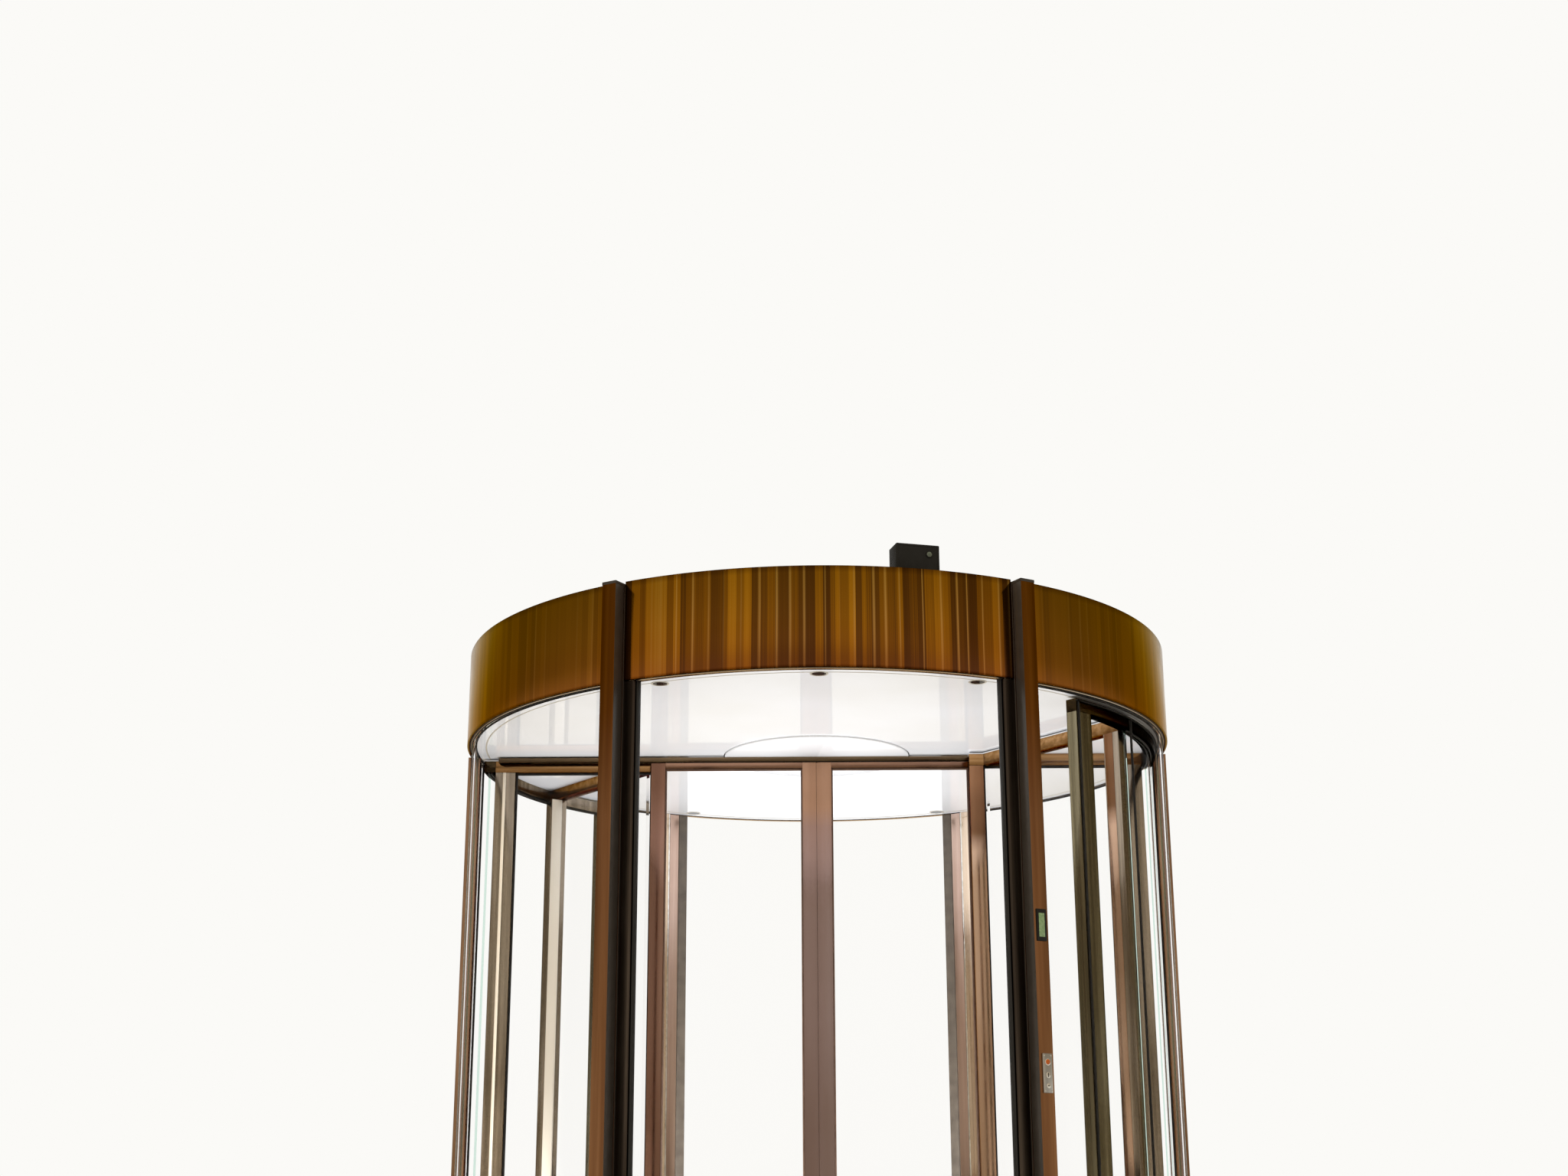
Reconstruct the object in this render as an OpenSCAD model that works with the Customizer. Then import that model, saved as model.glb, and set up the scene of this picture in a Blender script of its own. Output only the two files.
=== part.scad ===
/* [Drum] */
// Outer radius of the curved fascia
drum_r = 1800; // [1700:10:2400]
// Height of the ceiling above the floor
ceiling_h = 2800; // [2300:10:3200]
// Height of the fascia above the ceiling
fascia_h = 467; // [300:5:700]
// Thickness of the fascia's built-up panels
fascia_t = 15; // [8:1:25]
// Gap between two fascia panels
fascia_joint = 4; // [2:1:8]
// Thickness of the fixed curved glass
drum_glass_t = 14; // [10:1:20]
// Radial width of the head ring
head_ring_w = 35; // [30:1:60]
// Height of the head ring
head_ring_h = 54; // [40:1:80]
// Height of the sill under the fixed glass
sill_h = 90; // [60:5:200]
// Radial depth of the sill
sill_w = 34; // [28:1:60]

/* [Floor] */
// Width of the floor ring
floor_ring_w = 96; // [80:2:160]
// Thickness of the floor ring
floor_ring_t = 20; // [15:1:40]
// Thickness of the entrance mat
mat_t = 18; // [12:1:20]
// Distance of the anchor holes inside the throat
anchor_inset = 15; // [12:1:25]
// Diameter of an anchor hole
anchor_d = 14; // [10:1:16]
// Number of anchor holes
anchor_count = 12; // [8:4:16]

/* [Posts] */
// Angle of a throat post from the way through
throat_angle = 30.4; // [28:0.1:33]
// Width of a throat post's outer face
post_w = 75; // [60:1:100]
// How far a throat post stands proud of the fascia
post_proud = 74; // [50:1:100]
// How far a throat post stops below the fascia's top
post_drop = 12; // [6:1:30]
// Width of the jamb strip beside a throat post
jamb_strip_w = 57; // [30:1:70]
// Radial depth of the jamb strip
jamb_strip_d = 46; // [40:1:60]
// Width of the rubber safety edge on a lobby post's jamb strip
lobby_edge_w = 12; // [8:1:20]
// Width of the rubber safety edge on a street post's jamb strip
street_edge_w = 62; // [40:1:80]
// Radial width of a wall post
wall_post_w = 60; // [55:1:120]
// Depth of a wall post along the passage
wall_post_d = 70; // [50:1:100]
// Diameter of a wall fixing hole
wall_bolt_d = 12; // [8:1:14]
// Spacing of the wall fixing holes up the post
wall_bolt_pitch = 2200; // [1400:50:2200]
// Depth of a wall fixing hole
wall_bolt_depth = 30; // [20:1:45]

/* [Canopy] */
// Thickness of the ceiling panel
ceiling_t = 15; // [10:1:25]
// Radius of the centre disc that turns with the rotor
hub_disc_r = 478; // [400:2:600]
// Thickness of the roof cover
roof_t = 15; // [10:1:25]
// How far the roof cover lies below the fascia's top
roof_drop = 16; // [10:1:60]
// Width of the bearing beam
beam_w = 120; // [100:5:160]
// Height of the bearing beam
beam_h = 120; // [100:5:180]
// Radius of the rotor's shaft
shaft_r = 60; // [50:1:80]
// Running clearance of the shaft in its bearing
shaft_clear = 0.05; // [0.02:0.01:0.1]
// Width of the box on the roof
box_w = 205; // [150:5:300]
// Depth of the box on the roof
box_d = 110; // [80:5:200]
// Height of the box on the roof
box_h = 150; // [100:2:220]
// Angle of the box from the way through
box_angle = 15.0; // [5:0.1:22]
// Distance of the box's front face inside the fascia
box_inset = 40; // [20:5:300]
// Height of the key switch panel's middle
panel_z = 1067; // [900:1:1300]
// Height of the key switch panel
panel_h = 164; // [100:2:200]
// Width of the key switch panel
panel_w = 48; // [40:1:60]
// Thickness of the key switch panel
panel_t = 12; // [8:1:20]
// Diameter of a ceiling sensor
sensor_d = 84; // [40:2:120]
// Distance of the sensors inside the throat
sensor_inset = 72; // [50:2:150]
// Angle of the outer sensors from the way through
sensor_angle = 25.3; // [15:0.1:27]
// Height of a ceiling sensor below the ceiling
sensor_h = 2; // [1:0.5:2]

/* [Rotor] */
// Running gap above and below the rotor
rotor_gap = 7; // [5:1:15]
// Gap between the rotor and the throat
throat_gap = 15; // [8:1:25]
// Radial width of the rotor's curved rail
arc_rail_w = 60; // [50:1:90]
// Height of the rotor's top rails
rail_h = 60; // [40:1:90]
// Depth of the showcases' straight rails
rail_d = 68; // [50:1:90]
// Thickness of a showcase's top panel
case_top_t = 5; // [4:1:10]
// Height of the showcase's plinth top above the floor
plinth_h = 450; // [300:10:900]
// Height of the rotor's underside above the mat
skirt_gap = 12; // [8:1:20]
// Distance of the jamb from the middle
jamb_x = 785; // [650:1:900]
// Width of the jamb
jamb_w = 74; // [70:1:120]
// Width of the flat side's corner post
flat_post_w = 103; // [80:1:130]
// Width of the slanted side's corner post
slant_post_w = 100; // [80:1:120]
// Angle of the slanted side's outer corner from the rotor's centre line
slant_angle = 30.7; // [26:0.1:36]
// Angle of the tail's end from the rotor's centre line
tail_angle = 46.7; // [40:0.1:50]
// Width of the tail post along the arc
tail_post_w = 111; // [80:1:140]
// Height of the tail's bottom rail
tail_rail_h = 90; // [60:5:200]
// Thickness of the showcase glass
case_glass_t = 12; // [8:1:16]

/* [Leaves] */
// Thickness of a sliding leaf
leaf_t = 40; // [30:1:45]
// Gap between a leaf and the showcase it slides past
leaf_side_gap = 5; // [5:1:10]
// Width of a leaf's meeting stile
meeting_stile_w = 72; // [50:1:100]
// Height of a leaf's top rail
leaf_top_h = 30; // [25:1:90]
// Height of a leaf's bottom rail
leaf_bottom_h = 100; // [70:5:250]
// Thickness of a leaf's glass
leaf_glass_t = 12; // [8:1:16]
// Gap between the two leaves where they meet
meeting_gap = 6; // [6:1:10]
// Height of the rotor's header above the leaves
header_h = 24; // [22:1:40]
// Width of the slot under the header for the hangers' necks
slot_w = 18; // [14:1:20]
// Width of the channel in the header for the hangers' heads
channel_w = 36; // [30:1:40]
// Height of the channel in the header
channel_h = 12; // [9:1:13]
// Length of a hanger
hanger_l = 90; // [60:5:140]
// How far each leaf slides open
leaf_travel = 700; // [400:10:720]

/* [Hidden] */
$fn = 180;

bronze = [0.36, 0.24, 0.10];
dark_bronze = [0.16, 0.11, 0.07];
steel = [0.72, 0.71, 0.69];
white = [0.94, 0.93, 0.90];
black = [0.06, 0.06, 0.06];
glass_tint = [0.80, 0.90, 0.86, 0.35];

// How far a cut reaches past a face, and how deep solids of one node run into each other
eps = 1;
fascia_inner_r = drum_r - fascia_t;
throat_r = fascia_inner_r - head_ring_w;
drum_glass_r = fascia_inner_r - head_ring_w / 2;
// How far the head ring hangs below the ceiling
head_drop = 4;
head_z = ceiling_h - head_drop;
fascia_top = ceiling_h + fascia_h;
post_top = fascia_top - post_drop;
post_outer_r = drum_r + post_proud;
// How far the floor ring lies inside the fascia's face
floor_ring_inset = 5;
floor_outer_r = drum_r - floor_ring_inset;
floor_inner_r = floor_outer_r - floor_ring_w;
mat_edge_gap = 0.5;
sill_top = floor_ring_t + sill_h;
// How far a wall post covers the edge of the curved glass
wall_post_lip = 12;
wall_post_inner_r = drum_glass_r - drum_glass_t / 2 - wall_post_lip;
// Radial depth of the rubber safety edge
edge_d = 32;
// Angles of the fixed side wall, from the wall post to the throat post
wall_start = asin((wall_post_d / 2) / (drum_glass_r - drum_glass_t / 2));
wall_end = 90 - throat_angle - asin((post_w / 2) / (drum_glass_r - drum_glass_t / 2));
// Half the angle that one joint between two panels takes
joint_half = fascia_joint / 2 / drum_r * 180 / PI;
// Gap round the centre disc
hub_gap = 8;

rotor_r = throat_r - throat_gap;
rotor_top = ceiling_h - rotor_gap;
rail_top = rotor_top - case_top_t;
rail_z = rail_top - rail_h;
skirt_z = mat_t + skirt_gap;
arc_inner_r = rotor_r - arc_rail_w;
arc_glass_r = rotor_r - arc_rail_w / 2;
flat_y = leaf_t / 2 + leaf_side_gap;
flat_inner_y = flat_y + rail_d;
flat_end_x = sqrt(arc_inner_r * arc_inner_r - flat_inner_y * flat_inner_y);
// Where the slanted side starts, measured along the jamb
slant_inset = 18;
slant_start = [jamb_x + slant_inset, -flat_y];
slant_end = arc_inner_r * [cos(slant_angle), -sin(slant_angle)];
slant_length = norm(slant_end - slant_start);
slant_turn = atan2(slant_end[1] - slant_start[1], slant_end[0] - slant_start[0]);
flat_start_angle = asin(flat_y / rotor_r);
tail_post_angle = tail_angle - tail_post_w / arc_glass_r * 180 / PI;
// How far the tail's bottom rail runs into the plinth
tail_overlap_angle = 0.5;
// Gap at the edge of a curved pane
pane_gap = 6;
pane_gap_angle = pane_gap / arc_glass_r * 180 / PI;
// Distance from the outer face of a straight rail to each face of its pane
pane_outer = rail_d / 2 - case_glass_t / 2;
pane_inner = rail_d / 2 + case_glass_t / 2;

header_z = rotor_top - header_h;
// How far the header stops short of the showcases' corners
header_end_gap = 20;
header_half_x = flat_end_x - header_end_gap;
// Running clearance of a leaf and its hangers where they carry nothing
run_gap = 5;
// Clearance of a piece that rests or runs on another
seat_gap = 0.3;
leaf_z = skirt_z;
leaf_top = header_z - run_gap;
leaf_w = jamb_x + jamb_w;
stile_x = meeting_gap / 2 + meeting_stile_w;
leaf_glass_w = jamb_x - stile_x;
leaf_glass_z = leaf_z + leaf_bottom_h;
leaf_glass_h = leaf_top - leaf_top_h - leaf_glass_z;
// The track in the header: a slot for the hangers' necks under a wider channel for their heads
lip_h = 6;
neck_t = slot_w - 2 * run_gap;
head_t = channel_w - 2 * run_gap;
channel_z = header_z + lip_h;
track_half_x = jamb_x + leaf_travel + run_gap;
beam_z = head_z + head_ring_h;
beam_top = beam_z + beam_h;
// The collar that rests on the beam, and the boss round the shaft's bore
collar_lip = 35;
collar_r = shaft_r + collar_lip;
collar_h = 30;
boss_wall = 80;
boss_r = shaft_r + boss_wall;
hub_top = ceiling_h + ceiling_t;

// A flat ring sector from angle a0 to a1, measured from +X
module sector(r0, r1, a0, a1) {
    steps = max(2, ceil((a1 - a0) / 60));
    reach = r1 * 1.5;
    intersection() {
        difference() {
            circle(r = r1);
            if (r0 > 0) circle(r = r0);
        }
        polygon(concat([[0, 0]], [for (i = [0:steps])
            let (a = a0 + (a1 - a0) * i / steps) reach * [cos(a), sin(a)]]));
    }
}

// A curved wall between two radii and two angles
module curved(r0, r1, a0, a1, z0, z1) {
    translate([0, 0, z0]) linear_extrude(z1 - z0) sector(r0, r1, a0, a1);
}

// A full ring
module ring(r0, r1, z0, z1) {
    translate([0, 0, z0]) difference() {
        cylinder(r = r1, h = z1 - z0);
        translate([0, 0, -eps]) cylinder(r = r0, h = z1 - z0 + 2 * eps);
    }
}

// The footprint of a throat post's tube, on the side towards +X of the lobby's middle line
module post_tube() {
    rotate(throat_angle - 90)
        translate([throat_r, -post_w / 2]) square([post_outer_r - throat_r, post_w]);
}

// The footprint of the same post with its jamb strip
module post_outline() {
    post_tube();
    rotate(throat_angle - 90)
        translate([throat_r, -post_w / 2 - jamb_strip_w]) square([jamb_strip_d, jamb_strip_w + eps]);
}

// Repeats an outline for the four throat posts
module four_ways() {
    for (sx = [0, 1]) for (sy = [0, 1])
        mirror([sx, 0]) mirror([0, sy]) children();
}

// One throat post, with its side and end picked by mirroring
module throat_post(left, street) {
    color(bronze)
    mirror([left ? 1 : 0, 0, 0]) mirror([0, street ? 1 : 0, 0]) {
        linear_extrude(ceiling_h) post_outline();
        translate([0, 0, ceiling_h - eps]) linear_extrude(post_top - ceiling_h + eps)
            difference() {
                post_tube();
                circle(r = fascia_inner_r);
            }
    }
}

module safety_edges() {
    color(black)
    translate([0, 0, floor_ring_t]) linear_extrude(head_z - floor_ring_t)
    for (sx = [0, 1]) for (street = [0, 1])
        let (edge_w = street ? street_edge_w : lobby_edge_w)
            mirror([sx, 0]) mirror([0, street]) rotate(throat_angle - 90)
                translate([throat_r, -post_w / 2 - jamb_strip_w - edge_w]) square([edge_d, edge_w]);
}

module floor_ring() {
    color(steel) difference() {
        ring(floor_inner_r, floor_outer_r, 0, floor_ring_t);
        translate([0, 0, -eps]) linear_extrude(floor_ring_t + 2 * eps) four_ways() post_outline();
        for (side = [-1, 1])
            translate([side * (wall_post_inner_r + wall_post_w / 2), 0, floor_ring_t / 2])
                cube([wall_post_w, wall_post_d, floor_ring_t + 2 * eps], center = true);
        for (i = [0:anchor_count - 1])
            rotate((i + 0.5) * 360 / anchor_count)
                translate([throat_r - anchor_inset, 0, -eps])
                    cylinder(d = anchor_d, h = floor_ring_t + 2 * eps, $fn = 32);
    }
}

module entrance_mat() {
    color(dark_bronze) cylinder(r = floor_inner_r - mat_edge_gap, h = mat_t);
}

module wall_post(left) {
    color(bronze) mirror([left ? 1 : 0, 0, 0])
    difference() {
        translate([wall_post_inner_r, -wall_post_d / 2, 0])
            cube([wall_post_w, wall_post_d, head_z]);
        for (s = [-1, 1])
            translate([wall_post_inner_r + wall_post_w - wall_bolt_depth, 0,
                       head_z / 2 + s * wall_bolt_pitch / 2])
                rotate([0, 90, 0]) cylinder(d = wall_bolt_d, h = wall_bolt_depth + eps, $fn = 32);
    }
}

module drum_glass(left, street) {
    color(glass_tint)
    mirror([left ? 1 : 0, 0, 0]) mirror([0, street ? 0 : 1, 0])
        curved(drum_glass_r - drum_glass_t / 2, drum_glass_r + drum_glass_t / 2,
               wall_start, wall_end, sill_top, head_z);
}

module drum_sills(left) {
    color(bronze) mirror([left ? 1 : 0, 0, 0])
    difference() {
        for (m = [0, 1]) mirror([0, m, 0])
            curved(fascia_inner_r - sill_w, fascia_inner_r, 0, 90 - throat_angle,
                   floor_ring_t, sill_top);
        translate([0, 0, -eps]) linear_extrude(sill_top + 2 * eps) {
            four_ways() post_outline();
            translate([0, -wall_post_d / 2]) square([drum_r * 2, wall_post_d]);
        }
    }
}

module head_ring() {
    color(steel) difference() {
        ring(throat_r, fascia_inner_r, head_z, head_z + head_ring_h);
        translate([0, 0, head_z - eps]) linear_extrude(head_ring_h + 2 * eps)
            four_ways() post_outline();
    }
}

// One fascia panel between two angles, measured from +X
module fascia(a0, a1) {
    color(bronze) difference() {
        curved(fascia_inner_r, drum_r, a0, a1, ceiling_h, fascia_top);
        translate([0, 0, ceiling_h - eps]) linear_extrude(fascia_h + 2 * eps)
            four_ways() post_tube();
    }
}

module fascia_centre(street) {
    middle = street ? 90 : -90;
    fascia(middle - throat_angle, middle + throat_angle);
}

module fascia_side(left, street) {
    mirror([left ? 1 : 0, 0, 0]) mirror([0, street ? 0 : 1, 0])
        fascia(joint_half, 90 - throat_angle);
}

module ceiling() {
    color(white)
    ring(hub_disc_r + hub_gap, throat_r, ceiling_h, ceiling_h + ceiling_t);
}

module canopy_roof() {
    color(dark_bronze)
    translate([0, 0, fascia_top - roof_drop - roof_t]) cylinder(r = fascia_inner_r, h = roof_t);
}

module bearing_beam() {
    color(steel) difference() {
        union() {
            intersection() {
                translate([-drum_r, -beam_w / 2, beam_z]) cube([2 * drum_r, beam_w, beam_h]);
                translate([0, 0, beam_z]) cylinder(r = fascia_inner_r, h = beam_h);
            }
            translate([0, 0, beam_z]) cylinder(r = boss_r, h = beam_h);
        }
        translate([0, 0, beam_z - eps])
            cylinder(r = shaft_r + shaft_clear, h = beam_h + 2 * eps);
    }
}

module roof_box() {
    color(black)
    rotate(box_angle)
        translate([-box_w / 2, box_inset - fascia_inner_r, fascia_top - roof_drop + seat_gap])
            cube([box_w, box_d, box_h]);
}

module switch_panel() {
    color(steel)
    rotate(throat_angle - 90)
        translate([post_outer_r, -panel_w / 2, panel_z - panel_h / 2])
            cube([panel_t, panel_w, panel_h]);
}

// Three presence sensors over each way in
module ceiling_sensors() {
    color(black)
    for (way = [-90, 90]) for (side = [-1, 0, 1])
        rotate(way + side * sensor_angle)
            translate([throat_r - sensor_inset, 0, ceiling_h - sensor_h])
                cylinder(d = sensor_d, h = sensor_h, $fn = 48);
}

// The centre disc, with the shaft and the collar that it hangs from
module rotor_hub() {
    color(white) translate([0, 0, rotor_top]) cylinder(r = hub_disc_r, h = hub_top - rotor_top);
    color(steel) {
        translate([0, 0, hub_top - eps])
            cylinder(r = shaft_r, h = beam_top + seat_gap + collar_h - hub_top + eps);
        translate([0, 0, beam_top + seat_gap]) cylinder(r = collar_r, h = collar_h);
    }
}

// The header over the leaves, with the track that their hangers run in
module rotor_header() {
    color(steel) difference() {
        translate([-header_half_x, -flat_y, header_z])
            cube([2 * header_half_x, 2 * flat_y, header_h]);
        translate([-track_half_x, -slot_w / 2, header_z - eps])
            cube([2 * track_half_x, slot_w, lip_h + 2 * eps]);
        translate([-track_half_x, -channel_w / 2, channel_z])
            cube([2 * track_half_x, channel_w, channel_h]);
    }
}

// The jamb's footprint
module jamb_outline() {
    translate([jamb_x, -flat_inner_y]) square([jamb_w, rail_d]);
}

// The plan of one showcase
module case_plan() {
    reach = 2 * rotor_r;
    intersection() {
        circle(r = rotor_r);
        polygon([slant_start, [reach, -flat_y], reach * [cos(slant_angle), -sin(slant_angle)], slant_end]);
    }
    jamb_outline();
}

// A strip along the inside of the slanted side, from u0 to u1 along it
module slant_strip(u0, u1, depth) {
    translate(slant_start) rotate(slant_turn) translate([u0, 0]) square([u1 - u0, depth]);
}

// Places the right showcase, or the left one a half turn round
module on_side(left) {
    rotate(left ? 180 : 0) children();
}

module case_plinth(left) {
    color(bronze) on_side(left) {
        translate([0, 0, skirt_z]) linear_extrude(plinth_h - skirt_z) case_plan();
        curved(arc_inner_r, rotor_r, -tail_angle, -slant_angle + tail_overlap_angle,
               skirt_z, skirt_z + tail_rail_h);
    }
}

module case_posts(left) {
    color(bronze) on_side(left) {
        translate([0, 0, plinth_h]) linear_extrude(rail_z - plinth_h) {
            jamb_outline();
            translate([flat_end_x - flat_post_w, -flat_inner_y]) square([flat_post_w, rail_d]);
            intersection() {
                slant_strip(slant_length - slant_post_w, slant_length, slant_post_w);
                circle(r = arc_inner_r);
            }
        }
        curved(arc_inner_r, rotor_r, -tail_angle, -tail_post_angle, skirt_z + tail_rail_h, rail_z);
    }
}

module case_rails(left) {
    color(bronze) on_side(left)
    translate([0, 0, rail_z]) linear_extrude(rail_h) {
        intersection() {
            union() {
                translate([jamb_x, -flat_inner_y]) square([rotor_r, rail_d]);
                slant_strip(0, slant_length + arc_rail_w, rail_d);
            }
            circle(r = arc_glass_r);
            translate([jamb_x, -rotor_r]) square([rotor_r, rotor_r - flat_y]);
        }
        sector(arc_inner_r, rotor_r, -tail_angle, -flat_start_angle);
    }
}

module case_top(left) {
    color(white) on_side(left)
    translate([0, 0, rail_top]) linear_extrude(case_top_t) case_plan();
}

// The flat side's pane and the slanted side's pane
module case_panes(left) {
    color(glass_tint) on_side(left)
    translate([0, 0, plinth_h]) linear_extrude(rail_z - plinth_h) {
        translate([jamb_x + jamb_w, -flat_y - pane_inner])
            square([flat_end_x - flat_post_w - jamb_x - jamb_w, case_glass_t]);
        difference() {
            slant_strip(0, slant_length - slant_post_w, pane_inner);
            slant_strip(-eps, slant_length, pane_outer);
            translate([0, -flat_inner_y]) square([jamb_x + jamb_w, drum_r]);
            translate([0, -flat_y - pane_inner - eps]) square([drum_r, drum_r]);
        }
    }
}

// The curved pane of the showcase and the curved pane of its tail
module case_curved_glass(left) {
    r0 = arc_glass_r - case_glass_t / 2;
    r1 = arc_glass_r + case_glass_t / 2;
    color(glass_tint) on_side(left) {
        curved(r0, r1, -slant_angle, -flat_start_angle - pane_gap_angle, plinth_h, rail_z);
        curved(r0, r1, -tail_post_angle, -slant_angle - pane_gap_angle, skirt_z + tail_rail_h, rail_z);
    }
}

// A leaf's frame with its two hangers
module leaf_frame(left) {
    color(bronze) on_side(left) {
        difference() {
            translate([meeting_gap / 2, -leaf_t / 2, leaf_z])
                cube([leaf_w - meeting_gap / 2, leaf_t, leaf_top - leaf_z]);
            translate([stile_x, -leaf_t, leaf_glass_z])
                cube([leaf_glass_w, 2 * leaf_t, leaf_glass_h]);
        }
        for (x = [stile_x, jamb_x - hanger_l]) {
            translate([x, -neck_t / 2, leaf_top - eps])
                cube([hanger_l, neck_t, channel_z - leaf_top + 2 * eps]);
            translate([x, -head_t / 2, channel_z + seat_gap])
                cube([hanger_l, head_t, channel_h - run_gap - seat_gap]);
        }
    }
}

module leaf_glass(left) {
    color(glass_tint) on_side(left)
        translate([stile_x, -leaf_glass_t / 2, leaf_glass_z])
            cube([leaf_glass_w, leaf_glass_t, leaf_glass_h]);
}

floor_ring();
entrance_mat();
throat_post(true, false);  // post_lobby_left
throat_post(false, false);  // post_lobby_right
throat_post(true, true);  // post_street_left
throat_post(false, true);  // post_street_right
safety_edges();
wall_post(true);  // wall_post_left
wall_post(false);  // wall_post_right
drum_glass(true, false);  // drum_glass_lobby_left
drum_glass(false, false);  // drum_glass_lobby_right
drum_glass(true, true);  // drum_glass_street_left
drum_glass(false, true);  // drum_glass_street_right
drum_sills(true);  // drum_sills_left
drum_sills(false);  // drum_sills_right
head_ring();
fascia_centre(false);  // fascia_lobby_centre
fascia_side(true, false);  // fascia_lobby_left
fascia_side(false, false);  // fascia_lobby_right
fascia_centre(true);  // fascia_street_centre
fascia_side(true, true);  // fascia_street_left
fascia_side(false, true);  // fascia_street_right
ceiling();
canopy_roof();
bearing_beam();
roof_box();
switch_panel();
ceiling_sensors();
rotor_hub();
rotor_header();
case_plinth(true);  // case_plinth_left
case_plinth(false);  // case_plinth_right
case_posts(true);  // case_posts_left
case_posts(false);  // case_posts_right
case_rails(true);  // case_rails_left
case_rails(false);  // case_rails_right
case_top(true);  // case_top_left
case_top(false);  // case_top_right
case_panes(true);  // case_panes_left
case_panes(false);  // case_panes_right
case_curved_glass(true);  // case_curved_glass_left
case_curved_glass(false);  // case_curved_glass_right
leaf_frame(true);  // leaf_frame_left
leaf_frame(false);  // leaf_frame_right
leaf_glass(true);  // leaf_glass_left
leaf_glass(false);  // leaf_glass_right
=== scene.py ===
"""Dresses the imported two-wing revolving door: meshes, finishes, studio and camera.

Sizes are in millimetres in the drum's own frame, with Z up and the street towards +Y. A finished
mesh is scaled to metres once, where it becomes a piece.
"""

from __future__ import annotations

import logging
import math
import random
from dataclasses import dataclass, field
from enum import Enum
from typing import Callable, Iterable, Sequence

import bmesh
import bpy
from mathutils import Matrix, Vector

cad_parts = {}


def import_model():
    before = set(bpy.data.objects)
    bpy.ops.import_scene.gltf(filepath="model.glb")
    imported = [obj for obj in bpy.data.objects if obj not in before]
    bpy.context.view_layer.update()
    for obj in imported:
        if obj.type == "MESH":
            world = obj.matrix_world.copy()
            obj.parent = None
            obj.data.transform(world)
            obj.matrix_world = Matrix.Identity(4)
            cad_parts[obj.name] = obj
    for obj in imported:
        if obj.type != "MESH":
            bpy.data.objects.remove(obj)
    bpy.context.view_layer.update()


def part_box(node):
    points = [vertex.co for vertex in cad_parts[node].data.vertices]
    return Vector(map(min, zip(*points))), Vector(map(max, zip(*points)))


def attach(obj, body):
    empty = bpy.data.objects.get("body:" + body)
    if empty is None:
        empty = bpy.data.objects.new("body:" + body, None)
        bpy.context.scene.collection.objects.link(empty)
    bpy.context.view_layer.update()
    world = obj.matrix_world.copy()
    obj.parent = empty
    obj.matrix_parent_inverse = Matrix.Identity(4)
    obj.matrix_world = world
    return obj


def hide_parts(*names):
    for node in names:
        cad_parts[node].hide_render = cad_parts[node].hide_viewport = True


LOG = logging.getLogger("revolving_door")
MM = 0.001

Mesh = bmesh.types.BMesh
Face = bmesh.types.BMFace
Node = bpy.types.Node
Tree = bpy.types.NodeTree
Socket = bpy.types.NodeSocket
Outline = Sequence[tuple[float, float]]
Point = tuple[float, float, float]
Range = tuple[float, float]
Stops = Sequence[tuple[float, str]]

# The drum's radius in metres, by which an angle becomes a length round it
DRUM_R = 1.8
# The part of a noise's range that most of its values fall in
NOISE_SPAN = {"From Min": 0.3, "From Max": 0.7}


# Nodes and colours


def srgb(code: str) -> tuple[float, float, float, float]:
    """Turns a colour written as sRGB hex into the linear colour that the shaders take.

    Args:
        code: The colour, such as "#5c3c1e".

    Returns:
        Linear red, green, blue and an alpha of 1.
    """
    parts = [int(code[i : i + 2], 16) / 255 for i in (1, 3, 5)]
    linear = [c / 12.92 if c <= 0.04045 else ((c + 0.055) / 1.055) ** 2.4 for c in parts]
    return (linear[0], linear[1], linear[2], 1.0)


def add_node(tree: Tree, kind: str, settings: dict | None = None, links: dict | None = None) -> Node:
    """Adds a shader node with its settings and links.

    Args:
        tree: The node tree.
        kind: The node's type name, without the "ShaderNode" that it starts with.
        settings: Values by input name or number, or by attribute name. "stops" are the
            positions and sRGB colours of a colour ramp, in rising order.
        links: Output sockets by the input they feed.

    Returns:
        The new node.
    """
    node = tree.nodes.new(f"ShaderNode{kind}")
    for key, value in (settings or {}).items():
        if key == "stops":
            band = node.color_ramp.elements
            inner = [band.new(position) for position, _ in value[1:-1]]
            for element, (position, colour) in zip([band[0], *inner, band[-1]], value):
                element.position = position
                element.color = srgb(colour)
        elif isinstance(key, int) or key in node.inputs:
            node.inputs[key].default_value = value
        else:
            setattr(node, key, value)
    for key, source in (links or {}).items():
        tree.links.new(source, node.inputs[key])
    return node


def fill(node: Node, values: dict[str, object]) -> None:
    """Sets constants on a node's own sockets."""
    for key, value in values.items():
        node.inputs[key].default_value = value


def per_metre(size_mm: float) -> float:
    """The noise scale that gives features of one size, for coordinates in metres."""
    return 1.0 / (size_mm * MM)


class Grain(Enum):
    """The way that a profile was drawn or brushed."""

    UPRIGHT = "upright"
    ALONG_X = "along_x"
    ROUND = "round"
    EVEN = "even"


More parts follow.
